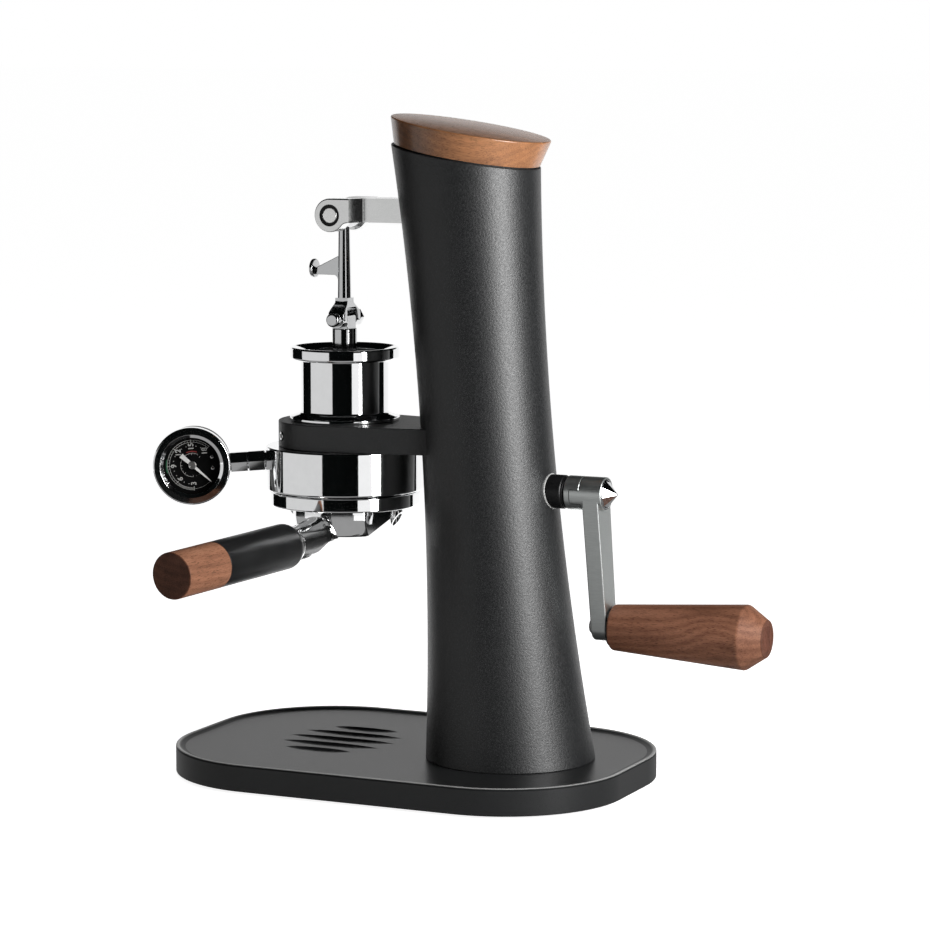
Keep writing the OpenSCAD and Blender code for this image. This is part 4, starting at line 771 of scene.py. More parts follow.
core.name = "lead_screw_threaded"
fitted(core, None, "screw", "steel", "lead_screw")

# ---- Crank bushing --------------------------------------------------------------------------
# A black turned bush in the tower's wall carries the crank shaft. A thin bright ring, shaped to
# the tower, trims the hole.
black = moulded("black_satin", (0.011, 0.0112, 0.0115), 0.38)


def chromed(name, colour=(0.86, 0.865, 0.87), roughness=0.035):
    """Polished chrome plate with a breath of haze."""
    finish, tree, shader, coords = new_finish(name, colour, roughness, metallic=1.0)
    haze = noise(tree, coords, 38.0, 4.0, 0.6)
    graded(tree, shader, "Roughness", haze, (0.35, roughness), (0.8, roughness + 0.035))
    polish = noise(tree, coords, 240.0, 2.0)
    graded(tree, shader, "Base Color", polish, (0.3, tuple(c * 0.97 for c in colour)),
        (0.7, colour))
    bump(tree, shader, polish, 0.008, 0.0001)
    return finish


chrome = chromed("chrome_plate")
bush_black = moulded("bush_black", (0.003, 0.003, 0.0032), 0.34, Specular_IOR_Level=0.25)
bush_low, bush_high = span("crank_bushing")
crank_axis = moved(0, 0, crank_z) @ along_x
bush = turned("bush", [(5.05, bush_low.x + 2), (hub_r - 0.01, bush_low.x + 2),
    (hub_r - 0.01, bush_high.x - 1.6, 0.3), (hub_r - 0.5, bush_high.x - 1.2),
    (hub_r - 0.5, bush_high.x, 0.4), (5.05, bush_high.x, 0.3)], crank_axis)
fitted(bush, bush_black, "base", "black", "crank_bushing")
tower_lean = moved(tower_x, 0, deck_z) @ Matrix.Rotation(-lean, 4, "Y")


def tower_skin(name, out, low, high):
    """A solid with the tower's outside form, moved outwards, between two heights along its axis."""
    return turned(name, [(0, low)] + [(waist_r + (h - waist_h) ** 2 / (2 * flare_r) + out, h)
        for h in range(low, high + 1, 4)] + [(0, high)], tower_lean, steps=192)


trim = turned("trim", [(hub_r + 0.02, 68), (hub_r + 0.42, 68), (hub_r + 0.42, 100),
    (hub_r + 0.02, 100)], crank_axis)
carve(trim, tower_skin("trim_skin", 0.6, 120, 180), "INTERSECT")
trim_bright = brushed("trim_bright", (0.62, 0.62, 0.61), 0.3, metallic=0.5)
fitted(trim, trim_bright, "base", "chrome", "bushing_ring")

# ---- Group bracket --------------------------------------------------------------------------
# A thick cast bracket, black powder-coated, tenoned into the tower and screwed to the gear frame.
# Its ring clamps the brew cylinder; a socket set screw locks it from the user's side.
bracket_coat = powder_coat("bracket_coat", (0.006, 0.0063, 0.0067), (0.016, 0.0165, 0.017), 1500.0,
    0.44, 0.3, Specular_IOR_Level=0.5)
group_x = brew_x * 1000
bracket_r, web_half, cyl_r = 36.8, 26.0, 24.2


def tower_axis(z):
    return tower_x - (z - deck_z) * tan(lean)


def tower_r(z):
    return waist_r + ((z - deck_z) / cos(lean) - waist_h) ** 2 / (2 * flare_r)


def arc(x, y, radius, first, last, steps=40):
    turns = [radians(first + (last - first) * k / steps) for k in range(steps + 1)]
    return [(x + radius * cos(a), y + radius * sin(a)) for a in turns]


web_x = tower_axis(bracket_low.z) - tower_r(bracket_low.z) + 14
lean_in = degrees(asin((bracket_r - web_half) / (web_x - group_x)))
outline = arc(group_x, 0, bracket_r, 90 - lean_in, 270 + lean_in, 96)
outline += [(web_x, -web_half), (web_x, web_half)]
bracket = slab("bracket", outline, bracket_low.z, bracket_high.z, edge=0.6)
carve(bracket, tower_skin("tower_form", -0.4, 140, 220))
tenon = slab("tenon", box_outline(web_x - 12, screw_x - 10, -20, 20, 0.5), bracket_low.z + 0.02,
    bracket_high.z - 0.02, edge=0)
carve(bracket, tenon, "UNION")
group_place = moved(group_x, 0, 0)
drilled(bracket, cyl_r + 0.05, bracket_low.z - 5, bracket_high.z + 5, group_place, 96)
lock_rise, lock_turn, lock_r = 14.3 * 0.45, 225, 2.5
lock_place = moved(group_x, 0, bracket_low.z + lock_rise) @ spun(lock_turn, "Z") @ along_x
carve(bracket, turned("lock_hole", [(0, cyl_r - 1), (lock_r + 0.05, cyl_r - 1),
    (lock_r + 0.05, bracket_r - 0.45), (3.3, bracket_r + 0.4), (3.3, bracket_r + 3),
    (0, bracket_r + 3)], lock_place, steps=48))
fitted(bracket, bracket_coat, "base", "bracket", "group_bracket")
dressed(steel, "bracket_screws")

lock = turned("lock_screw", [(0, cyl_r + 0.1), (lock_r, cyl_r + 0.1, 0.3),
    (lock_r, bracket_r + 0.4, 0.5), (0, bracket_r + 0.4)], lock_place, steps=36)
cut(lock, regular(6, 1.5), bracket_r - 3.2, bracket_r + 1, lock_place)
fitted(lock, chrome, "base", "steel", "set_screw")

# ---- Brew cylinder and group ring -----------------------------------------------------------
# The cylinder is turned from one bar, with a thick mouth flange and a seat flange on the bracket.
# The group ring hangs below, grooved for the portafilter's lugs. Both are polished and chromed.
cyl_low, cyl_high = span("brew_cylinder")
bore_r, mouth_r, mouth_h, seat_r, seat_h = 22.0, 30.2, 6.9, 30.5, 3.6
seat_z = bracket_high.z
cylinder = turned("cylinder", [(bore_r, cyl_low.z, 0.3), (cyl_r, cyl_low.z, 0.3),
    (cyl_r, seat_z + 0.01), (seat_r, seat_z + 0.01, 0.6), (seat_r, seat_z + 2.2, 0.8),
    (cyl_r, seat_z + seat_h + 0.6, 1.8), (cyl_r, cyl_high.z - mouth_h, 0.6),
    (mouth_r, cyl_high.z - mouth_h, 1.6), (mouth_r, cyl_high.z, 1.2),
    (mouth_r - 1.8, cyl_high.z, 0.5), (bore_r, cyl_high.z - 2.3, 1.0)], group_place, steps=128,
    soft=8)
fitted(cylinder, chrome, "base", "chrome", "brew_cylinder")

ring_low, ring_high = span("group_ring")
ring_r, cave_r, groove_r = 44.0, 35.2, 39.2
cave_z, groove_low, groove_high = ring_high.z - 6.0, ring_low.z + 5.7, ring_low.z + 11.1
group_ring = turned("group_collar", [(cave_r, ring_low.z, 0.4), (ring_r, ring_low.z, 0.9),
    (ring_r, ring_high.z, 0.9), (cyl_r + 0.05, ring_high.z), (cyl_r + 0.05, cave_z),
    (cave_r, cave_z), (cave_r, groove_high), (groove_r, groove_high), (groove_r, groove_low),
    (cave_r, groove_low, 0.3)], group_place, steps=144)
grip_turn = 262.5
for entry in (grip_turn - 45 + 90, grip_turn - 45 + 270):
    gate = slab("gate", box_outline(30, groove_r - 0.3, -13, 13, 0.8), ring_low.z - 2,
        groove_low + 1, group_place @ spun(entry, "Z"), edge=0)
    carve(group_ring, gate)
fitted(group_ring, chrome, "base", "chrome", "group_ring")
seal = moulded("seal_rubber", (0.23, 0.035, 0.02), 0.6)
dressed(seal, "group_gasket", "piston_seals")
dressed(steel, "shower_screen")

# ---- Pressure gauge -------------------------------------------------------------------------
# A small dial gauge on a stem screwed into the group ring: black pressed case, rolled chrome
# bezel, glass, and a black dial turned with the stem so that zero lies lower right.
gauge_drop, gauge_turn, gauge_sag = 8.1, 205, 4
stem_root = moved(group_x, 0, bracket_low.z - gauge_drop) @ spun(gauge_turn, "Z")
gauge_place = stem_root @ moved(ring_r, 0, 0) @ spun(gauge_sag, "Y")
gauge_out, gauge_r, case_r, glass_y, bezel_y = 40.7, 21.5, 20.3, 6.6, 9.0
band_out, band_in = 20.8, 17.5
stem_axis = gauge_place @ along_x
dial_axis = gauge_place @ moved(gauge_out, 0, 0) @ spun(-90, "X")
stem = turned("gauge_pipe", [(1.4, -6), (4, -6, 0.4), (4, 0.2), (5.0, 0.2), (5.0, 19.7),
    (1.4, 19.7)], stem_axis, steps=64)
for first, last, corner in ((0.4, 9.6, 6.2), (10.1, 19.5, 6.1)):
    carve(stem, slab("gauge_nut", regular(6, corner, 0.5), first, last, stem_axis, edge=0.4),
        "UNION")
carve(stem, turned("case_room", [(0, -14.1), (case_r + 0.02, -14.1), (case_r + 0.02, 1.9),
    (gauge_r + 0.1, 1.9), (gauge_r + 0.1, 9.1), (0, 9.1)], dial_axis))
fitted(stem, chrome, "base", "steel", "gauge_stem")

case = turned("gauge_cup", [(0, -14), (case_r, -14, 2.0), (case_r, 5.3, 0.2),
    (case_r - 1.2, 5.3, 0.2), (case_r - 1.2, -12.6, 1.0), (0, -12.6)], dial_axis)
fitted(case, black, "base", "black", "gauge_case")
bezel = turned("gauge_rim", [(case_r + 0.05, 2, 0.2), (gauge_r, 2, 0.7), (gauge_r, 8.4, 0.5),
    (band_out, bezel_y, 0.4), (band_in, bezel_y, 0.25), (15.6, glass_y + 0.85, 0.1),
    (case_r - 1.25, glass_y + 0.82), (case_r - 1.25, 5.42), (case_r + 0.05, 5.42)], dial_axis,
    steps=128, soft=8)
bezel_chrome = chromed("bezel_chrome", roughness=0.06)
fitted(bezel, bezel_chrome, "base", "chrome", "gauge_bezel")
clear, tree, shader, coords = new_finish("gauge_pane", (0.0, 0.0, 0.0), 0.02, Alpha=0.1)
graded(tree, shader, "Roughness", noise(tree, coords, 90.0, 3.0), (0.3, 0.01), (0.8, 0.05))
pane = turned("gauge_window", [(0, glass_y), (case_r - 1.3, glass_y, 0.2),
    (case_r - 1.3, glass_y + 0.8, 0.3), (0, glass_y + 0.8)], dial_axis)
fitted(pane, clear, "base", "glass", "gauge_glass")
dressed(bronze, "gauge_movement")

dial_r, dial_z = 18.1, 2.4
dial_black = moulded("dial_black", (0.002, 0.0021, 0.0022), 0.5, 900.0, 0.05,
    Specular_IOR_Level=0.1)
dial = turned("dial_plate", [(1.3, 1.6), (dial_r, 1.6, 0.1), (dial_r, dial_z, 0.15), (1.3, dial_z)],
    dial_axis)
fitted(dial, dial_black, "base", "dial", "gauge_dial")

# ---- Dial print -----------------------------------------------------------------------------
# Off-white ink on the dial: a double scale ring with ticks, numbers from 3 to 18, an inner arc and
# a few coloured marks. Two small rivets hold the dial to its case.
ink, tree, shader, coords = new_finish("dial_ink", (0.5, 0.5, 0.48), 0.6)
graded(tree, shader, "Base Color", noise(tree, coords, 1400.0, 2.0), (0.3, (0.36, 0.36, 0.345)),
    (0.7, (0.6, 0.6, 0.58)))
# On the dial: x to the viewer's right, y up and z outwards.
face = gauge_place @ moved(gauge_out, 0, 0) @ Matrix(((-1, 0, 0, 0), (0, 0, 1, 0), (0, 1, 0, 0),
    (0, 0, 0, 1)))
in_metres = Matrix.Diagonal((0.001, 0.001, 0.001, 1))
face_m = in_metres @ face @ in_metres.inverted()
ink_t, zero, unit, figure_r = 0.06, -45.0, -15.0, 0.0103
tree, sizes = new_tree("dial_ticks", Count=1, First=0.0, Step=0.0, Radius=1.0, Length=1.0,
    Width=1.0, Thick=1.0, Lift=1.0)
number = Rule(tree, wire(tree, "GeometryNodeInputIndex").outputs[0])
turn = number * sizes["Step"] + sizes["First"]
spot = wire(tree, "ShaderNodeCombineXYZ", X=turn.made("COSINE") * sizes["Radius"],
    Y=turn.made("SINE") * sizes["Radius"], Z=sizes["Lift"])
dots = wire(tree, "GeometryNodePoints", Count=sizes["Count"])
set_out = wire(tree, "GeometryNodeSetPosition", Geometry=dots.outputs[0], Position=spot.outputs[0])
bar = wire(tree, "ShaderNodeCombineXYZ", X=sizes["Length"], Y=sizes["Width"], Z=sizes["Thick"])
tick = wire(tree, "GeometryNodeMeshCube", Size=bar.outputs[0])
way = wire(tree, "ShaderNodeCombineXYZ", Z=turn)
ticks = wire(tree, "GeometryNodeInstanceOnPoints", Points=set_out.outputs[0],
    Instance=tick.outputs[0], Rotation=way.outputs[0])
end_tree(tree, ticks.outputs[0], ink)
lift = dial_z / 1000 + 0.00003
prints = []
for count, first, step, radius, length, width in ((6, 3.0, 3.0, 13.1, 2.2, 0.34),
        (31, 3.0, 0.5, 13.2, 0.9, 0.12), (5, 4.0, 3.0, 10.7, 0.5, 0.4),
        (5, 5.0, 3.0, 10.7, 0.5, 0.4), (7, 0.0, 3.0, 6.1, 0.9, 0.2), (19, 0.0, 1.0, 6.3, 0.5, 0.1)):
    prints.append(grown(blank("ticks"), tree, Count=count, First=radians(zero + unit * first),
        Step=radians(unit * step), Radius=radius / 1000, Length=length / 1000, Width=width / 1000,
        Thick=ink_t / 1000, Lift=lift))


def printed_arc(radius, width, first, last, finish, steps=72):
    """A flat printed line along part of a circle on the dial."""
    loops = []
    for k in range(steps + 1):
        a = radians(zero + unit * (first + (last - first) * k / steps))
        loops.append([(r * cos(a), r * sin(a), z) for r, z in ((radius - width / 2, dial_z - 0.01),
            (radius + width / 2, dial_z - 0.01), (radius + width / 2, dial_z + ink_t),
            (radius - width / 2, dial_z + ink_t))])
    line = solid("line", *lofted(loops))
    line.data.materials.append(finish)
    return line


green_ink, red_ink, grey_ink = (moulded("dial_ink_" + name, colour, 0.55, 900.0, 0.03)
    for name, colour in (("green", (0.02, 0.16, 0.07)), ("red", (0.22, 0.02, 0.015)),
    ("grey", (0.16, 0.16, 0.15))))
prints += [printed_arc(*line) for line in ((13.9, 0.2, 3.0, 18.1, ink),
    (12.75, 0.2, 3.0, 18.1, ink), (13.3, 0.14, 0.0, 3.0, ink), (6.6, 0.16, 3.0, 17.0, ink),
    (14.5, 0.4, 8.0, 10.0, green_ink), (7.6, 0.5, 13.5, 16.5, red_ink),
    (13.3, 0.8, 3.0, 5.7, grey_ink))]
for figure in (3, 6, 9, 12, 15, 18):
    text = bpy.data.curves.new("figure", "FONT")
    text.body, text.size, text.offset = str(figure), 0.0041, 0.00009
    text.align_x, text.align_y, text.extrude = "CENTER", "CENTER", 0.00003
    stamp = placed("figure", text)
    graph = bpy.context.evaluated_depsgraph_get()
    flat = bpy.data.meshes.new_from_object(stamp.evaluated_get(graph))
    bpy.data.objects.remove(stamp)
    a = radians(zero + unit * figure)
    flat.transform(moved(figure_r * cos(a), figure_r * sin(a), lift) @ spun(90, "Z"))
    flat.materials.clear()
    flat.materials.append(ink)
    prints.append(placed("figure", flat))


def joined(name, parts):
    """Several meshes as one piece, each with its own material."""
    bpy.ops.object.select_all(action="DESELECT")
    for part in parts:
        part.select_set(True)
    bpy.context.view_layer.objects.active = parts[0]
    bpy.ops.object.join()
    parts[0].name = parts[0].data.name = name
    return parts[0]


print_piece = joined("dial_print", prints)
tidy(print_piece.data)
print_piece.data.transform(face_m)
fitted(print_piece, None, "base", "needle")
rivets = []
for x, y in ((11.1, 3.8), (11.1, -2.5)):
    rivet = turned("rivet", [(0, dial_z), (1.15, dial_z), (1.15, dial_z + 0.15),
        (0.85, dial_z + 0.5, 0.3), (0, dial_z + 0.66)], face @ moved(x, y, 0), steps=32)
    rivet.data.materials.append(chrome)
    rivets.append(rivet)
fitted(joined("dial_rivets", rivets), None, "base", "chrome")

# ---- Gauge needle ---------------------------------------------------------------------------
# A stamped white pointer with a broad tail, pressed on the movement's arbor under a dark cap.
needle_white, tree, shader, coords = new_finish("needle_white", (0.8, 0.8, 0.78), 0.45)
graded(tree, shader, "Base Color", noise(tree, coords, 700.0, 3.0), (0.3, (0.7, 0.7, 0.68)),
    (0.7, (0.86, 0.86, 0.84)))
blade, tail = 14.1, 8.3
pointer = slab("needle_blade", [(0, -0.85), (blade, -0.22), (blade, 0.22), (0, 0.85), (-tail, 1.35),
    (-tail, -1.35)], 3.42, 3.98, face @ spun(zero, "Z"), edge=0.08, steps=2)
fitted(pointer, needle_white, "needle", "needle", "gauge_needle")
hub = turned("needle_cap", [(0, -2), (1.2, -2), (1.2, 3.3), (2.2, 3.3, 0.1), (2.2, 4.6, 0.35),
    (1.5, 4.6, 0.1), (1.4, 4.35), (0, 4.35)], face, steps=48)
fitted(hub, steel, "needle", "needle")

# ---- Press arm ------------------------------------------------------------------------------
# A steel bar through the tower's slot, bolted to the carriage. Its end is forked by two rounded
# cheeks with stepped shoulders; a plain pin in black collars, sunk in counterbores, joins the link.
# The collars' black also stands in for the shade in the counterbores.
arm_satin = brushed("arm_satin", (0.76, 0.765, 0.76), 0.17, (60.0, 700.0, 700.0), 0.05)
pin_z, fork_r, fork_half, fork_gap, pin_r = bar_high - 9.2, 9.2, 18.0, 10.0, 4.8
fork_back, step_y = 11.8, 10.0
arm_back = arm_high.x
plan = [(group_x - fork_r - 0.5, -fork_half - 1), (group_x + fork_back, -fork_half - 1)]
plan += [(group_x + fork_back + k / 6 + k * k / 90, -fork_half + step_y * k / 12)
    for k in range(13)]
plan += [(arm_back - 0.02, -bar_w / 2), (arm_back - 0.02, bar_w / 2)]
plan += [(group_x + fork_back + k / 6 + k * k / 90, fork_half - step_y * k / 12)
    for k in range(12, -1, -1)]
plan += [(group_x + fork_back, fork_half + 1), (group_x - fork_r - 0.5, fork_half + 1)]
arm = slab("arm", plan, arm_low.z - 2, bar_high + 2, edge=0)
blend_r = 5.0
drop = bar_low - pin_z
sink = sqrt((fork_r + blend_r) ** 2 - (drop - blend_r) ** 2)
meet = degrees(acos(sink / (fork_r + blend_r)))
side = arc(group_x, pin_z, fork_r, 90, 360 - meet, 72)
side += arc(group_x + sink, bar_low - blend_r, blend_r, 180 - meet, 90, 12)[1:]
foot_x0 = arm_back - 10.5
side += [(foot_x0, bar_low), (foot_x0, arm_low.z), (arm_back, arm_low.z), (arm_back, bar_high)]
facing_y = spun(90, "X")
carve(arm, slab("arm_side", side, -fork_half, fork_half, facing_y, edge=0.7, steps=5), "INTERSECT")
cut(arm, box_outline(group_x - 30, group_x + fork_r + 1, pin_z - 20, pin_z + 20, 0.3), -fork_gap,
    fork_gap, facing_y)
pin_axis = moved(group_x, 0, pin_z) @ spun(-90, "X")
sink_r, sink_y = 6.0, fork_half - 4.0
carve(arm, turned("pin_hole", [(0, -30), (sink_r, -30), (sink_r, -sink_y), (pin_r + 0.05, -sink_y),
    (pin_r + 0.05, sink_y), (sink_r, sink_y), (sink_r, 30), (0, 30)], pin_axis, steps=72))
fitted(arm, arm_satin, "press", "steel", "press_arm")
neck_r = pin_r - 0.6
pin = turned("fork_pin", [(0, -fork_half + 0.4), (neck_r, -fork_half + 0.4, 0.4),
    (neck_r, -fork_half + 2.4), (pin_r, -fork_half + 2.4), (pin_r, fork_half - 2.4),
    (neck_r, fork_half - 2.4), (neck_r, fork_half - 0.4, 0.4), (0, fork_half - 0.4)], pin_axis,
    steps=72)
pin_satin = brushed("pin_satin", (0.9, 0.9, 0.89), 0.24)
fitted(pin, pin_satin, "press", "steel", "arm_pin")
# Black collars fill the counterbores round the pin; their black also stands in for the shade there.
shading_collars = []
for side in (-1, 1):
    shading_collars.append(turned("collar", [(r, side * (fork_half - deep))
        for r, deep in ((neck_r + 0.05, 1.0), (5.95, 1.0), (5.95, 3.9), (pin_r + 0.05, 3.9),
        (pin_r + 0.05, 2.35), (neck_r + 0.05, 2.35))], pin_axis, steps=72))
fitted(joined("pin_collars", shading_collars), bush_black, "press", "black")

# ---- Link rod -------------------------------------------------------------------------------
# A chromed casting: an eye on the fork's pin, a round rod with a thumb web and button to lift the
# piston by, and a yoke that straddles the piston stem on a bolt.
knuckle_z, link_r, eye_r, eye_half = pin_z - 57.6, 3.0, 7.8, 9.6
stem_r, tongue, cheek_out, cheek_r, bolt_r = 6.9, 5.3, 10.6, 4.9, 3.0
roof_z = knuckle_z + 6.2
link = turned("link", [(0, roof_z + 0.1), (link_r + 0.8, roof_z + 0.1), (link_r, pin_z),
    (0, pin_z)], group_place, steps=48)
eye = turned("eye", [(0, -eye_half), (eye_r, -eye_half, 0.8), (eye_r, eye_half, 0.8),
    (0, eye_half)], pin_axis, steps=72)
carve(link, eye, "UNION")
knuckle_axis = moved(group_x, 0, knuckle_z) @ spun(-90, "X")
half = [(-link_r - 0.7, knuckle_z + 11.5), (-link_r - 0.7, knuckle_z + 8.6, 3.0),
    (-cheek_out, knuckle_z + 3.8, 2.4), (-cheek_out, knuckle_z - 6), (-tongue - 0.3, knuckle_z - 6),
    (-tongue - 0.3, roof_z, 1.0)]
fork = eased(half + [(-y, *more) for y, *more in half[::-1]])
yoke = slab("yoke", fork, -cheek_r, cheek_r, group_place @ facing_x, edge=0.9, steps=5)
cheek = arc(group_x, knuckle_z, cheek_r - 0.05, 180, 360, 36)
cheek += [(group_x + cheek_r - 0.05, knuckle_z + 4.5), (group_x + link_r + 0.8, knuckle_z + 9),
    (group_x + link_r + 0.8, knuckle_z + 14), (group_x - link_r - 0.8, knuckle_z + 14),
    (group_x - link_r - 0.8, knuckle_z + 9), (group_x - cheek_r + 0.05, knuckle_z + 4.5)]
cut(yoke, cheek, -20, 20, facing_y, "INTERSECT")
carve(link, yoke, "UNION")
thumb_z, thumb_reach = knuckle_z + 57.6 * 0.474, 19.5
web = eased([(group_x, thumb_z - 3.4), (group_x - link_r, thumb_z - 7.0),
    (group_x - link_r - 1.2, thumb_z - 3.4, 2.5), (group_x - thumb_reach + 1.5, thumb_z - 3.4),
    (group_x - thumb_reach + 1.5, thumb_z - 0.1), (group_x - link_r, thumb_z + 7.2),
    (group_x, thumb_z + 7.2)])
carve(link, slab("web", web, -1.5, 1.5, facing_y, edge=0.35), "UNION")
drilled(link, bolt_r + 0.05, -30, 30, knuckle_axis)
drilled(link, pin_r + 0.05, -30, 30, pin_axis, 72)
chrome_dull = chromed("chrome_dull", (0.58, 0.585, 0.59), 0.09)
fitted(link, chrome_dull, "press", "steel", "link_rod")
thumb_axis = moved(group_x, 0, thumb_z) @ along_x
button = turned("thumb_pad", [(0, -thumb_reach), (5.2, -thumb_reach, 0.7),
    (5.2, -thumb_reach + 2, 0.6), (0, -thumb_reach + 2)], thumb_axis, steps=64)
fitted(button, chrome_dull, "press", "chrome", "thumb_button")
bolt_grip = cheek_out + 0.2
bolt = turned("yoke_bolt", [(0, -bolt_grip - 4.8), (3.9, -bolt_grip - 4.8, 1.3),
    (3.9, -bolt_grip, 0.3), (bolt_r, -bolt_grip), (bolt_r, bolt_grip + 5.6, 0.5),
    (0, bolt_grip + 5.6)], knuckle_axis, steps=64)
fitted(bolt, chrome_dull, "press", "steel", "knuckle_bolt")
cap_nut = slab("yoke_nut", regular(6, 4.8), bolt_grip, bolt_grip + 4.4, knuckle_axis, edge=0.5)
drilled(cap_nut, bolt_r + 0.02, 0, 40, knuckle_axis)
fitted(cap_nut, chrome_dull, "press", "steel", "knuckle_nut")

# ---- Piston ---------------------------------------------------------------------------------
# A black polymer piston with two red O-rings on a chromed stem, which the link's yoke drives
# down the cylinder's bore.
piston_low, piston_high = span("piston")
rod = turned("piston_rod", [(0, piston_low.z + 5), (4.9, piston_low.z + 5), (4.9, piston_high.z),
    (stem_r, piston_high.z + 0.01), (stem_r, knuckle_z - 5.3, 0.6), (0, knuckle_z - 5.3)],
    group_place, steps=72)
tang = arc(group_x, knuckle_z, 4.4, 0, 180, 24) + [(group_x - 4.4, knuckle_z - 7),
    (group_x + 4.4, knuckle_z - 7)]
carve(rod, slab("tang", tang, -tongue, tongue, facing_y, edge=0.3), "UNION")
drilled(rod, bolt_r + 0.05, -30, 30, knuckle_axis)
fitted(rod, chrome_dull, "press", "steel", "piston_stem")
piston_black = moulded("piston_black", (0.012, 0.012, 0.0125), 0.45)
dressed(piston_black, "piston")

# ---- Crank ----------------------------------------------------------------------------------
# A satin nickel arm whose hub has two teeth in a castle ring on the shaft. A faceted, chromed
# cone screw closes the hub; the handle's spindle is riveted through the arm's lower end.
crank_satin = brushed("crank_satin", (0.62, 0.645, 0.635), 0.36, (60.0, 500.0, 500.0), 0.04)
crank_hang = 9.6
crank_place = moved(0, 0, crank_z) @ spun(crank_hang, "X")
crank_turn = crank_place @ along_x
castle_low, castle_high = span("coupling_ring")
hub_end, shaft_r, dog_w = castle_high.x + 0.2 + 12.6, 5.0, 7.4
castle_x, dog_x, hub_x = castle_low.x, castle_low.x + 3.3, castle_high.x + 0.2
castle = turned("castle_ring", [(shaft_r + 0.02, castle_x), (hub_r, castle_x, 0.6),
    (hub_r, castle_high.x - 0.2, 0.3), (shaft_r + 0.02, castle_high.x - 0.2)], crank_turn)
cut(castle, box_outline(-20, 20, -dog_w / 2 - 0.4, dog_w / 2 + 0.4, 0.2), dog_x - 0.2, hub_x + 1,
    crank_place @ facing_x)
fitted(castle, crank_satin, "crank", "steel", "coupling_ring")

crank_r, arm_end_r, bar_t, spindle_r = 75.4, 7.6, 9.4, 4.0
bar_x = hub_end - 1.8 - bar_t
taper = degrees(asin((hub_r - arm_end_r) / crank_r))
outline = arc(0, 0, hub_r - 0.12, -taper, 180 + taper, 48) + arc(0, -crank_r, arm_end_r,
    180 + taper, 360 - taper, 48)
lever = slab("lever", outline, bar_x, bar_x + bar_t, crank_place @ facing_x, edge=0.9, steps=6)
barrel = turned("barrel", [(0, hub_x), (hub_r, hub_x, 0.3), (hub_r, hub_end, 0.5), (0, hub_end)],
    crank_turn)
carve(lever, barrel, "UNION")
dogs = turned("dogs", [(0, dog_x + 0.2), (hub_r - 0.02, dog_x + 0.2), (hub_r - 0.02, hub_x + 1),
    (0, hub_x + 1)], crank_turn)
cut(dogs, box_outline(-20, 20, -dog_w / 2, dog_w / 2, 0.3), dog_x - 1, hub_x + 2,
    crank_place @ facing_x, "INTERSECT")
carve(lever, dogs, "UNION")
carve(lever, turned("shaft_hole", [(0, dog_x - 1), (shaft_r + 0.02, dog_x - 1),
    (shaft_r + 0.02, hub_end - 1.9), (hub_r - 1, hub_end - 1.9), (hub_r - 0.7, hub_end + 1),
    (0, hub_end + 1)], crank_turn))
handle_turn = crank_place @ moved(0, 0, -crank_r) @ along_x
drilled(lever, spindle_r + 0.02, bar_x - 1, bar_x + bar_t + 1, handle_turn)
fitted(lever, crank_satin, "crank", "steel", "crank_arm")

cone = turned("cone_disc", [(0, hub_end - 13), (2.4, hub_end - 13), (2.4, hub_end - 1.8),
    (hub_r - 1.2, hub_end - 1.8), (hub_r - 1.2, hub_end + 0.2, 0.4), (0, hub_end + 0.2)],
    crank_turn)
point, base_r = hub_end + 5.9, hub_r - 2.0
cone_loops = [[(*p, x) for p in regular(8, r)] for r, x in ((base_r, hub_end - 0.4),
    (base_r, hub_end + 0.3), (0.8, point))]
carve(cone, solid("facets", *lofted(cone_loops), crank_turn), "UNION")
fitted(cone, chrome_dull, "crank", "chrome", "crank_screw", sharp=20)

bar_face = bar_x + bar_t
handle_x, handle_l, handle_r, root_r, end_r, plug_r = bar_face + 1.4, 87.99, 17.7, 12.5, 10.0, 7.0
handle_end = handle_x + handle_l
spindle = turned("spindle", [(0, bar_x - 2.8), (4.4, bar_x - 2.8, 1.6), (4.4, bar_x, 0.2),
    (spindle_r, bar_x), (spindle_r, handle_end - 9.6), (plug_r - 0.7, handle_end - 9.6),
    (plug_r - 0.7, handle_end - 4.6), (0, handle_end - 4.6)], handle_turn, steps=64)
fitted(spindle, steel, "crank", "steel", "handle_spindle")
washer = turned("spindle_washer", [(spindle_r + 0.02, bar_face + 0.01),
    (root_r - 2, bar_face + 0.01, 0.2), (root_r - 2, handle_x - 0.3, 0.2),
    (spindle_r + 0.02, handle_x - 0.3)], handle_turn, steps=72)
fitted(washer, black, "crank", "black", "handle_washer")

# ---- Handle ---------------------------------------------------------------------------------
# Turned from one piece of walnut, tapered towards the crank, with a crisp chamfer at its end.
# A bronze sleeve runs on the spindle, and a wooden plug hides its locknut.
handle_walnut = walnut("handle_walnut", handle_turn @ spun(-90, "Y"), (0.7, 0.76, 0.78),
    heart=(-0.012, 0.012), lean_in=0.06, figure=0.17, eye=(0.177, -0.014, 0.006),
    end=(handle_end - 0.35) / 1000, Specular_IOR_Level=0.12)
nose = 11.5
handle = turned("handle", [(6.0, handle_x), (root_r, handle_x, 1.4),
    (handle_r, handle_end - nose, 3.0), (end_r, handle_end, 0.6), (plug_r, handle_end, 0.12),
    (plug_r, handle_end - 10), (6.0, handle_end - 10)], handle_turn, steps=128, soft=8)
fitted(handle, handle_walnut, "handle", "walnut", "crank_handle")
# The plug's dark tone is painted shade, to match the shaded end face round it.
plug_walnut = walnut("plug_walnut", handle_turn @ spun(90, "X"), (0.42, 0.38, 0.4),
    heart=(0.0, 0.05), figure=0.1, Specular_IOR_Level=0.12)
plug = turned("end_plug", [(0, handle_end - 4), (plug_r - 0.05, handle_end - 4),
    (plug_r - 0.05, handle_end - 0.02, 0.15), (0, handle_end - 0.02)], handle_turn, steps=72)
fitted(plug, plug_walnut, "handle", "walnut", "handle_plug")
dressed(bronze, "handle_sleeve")

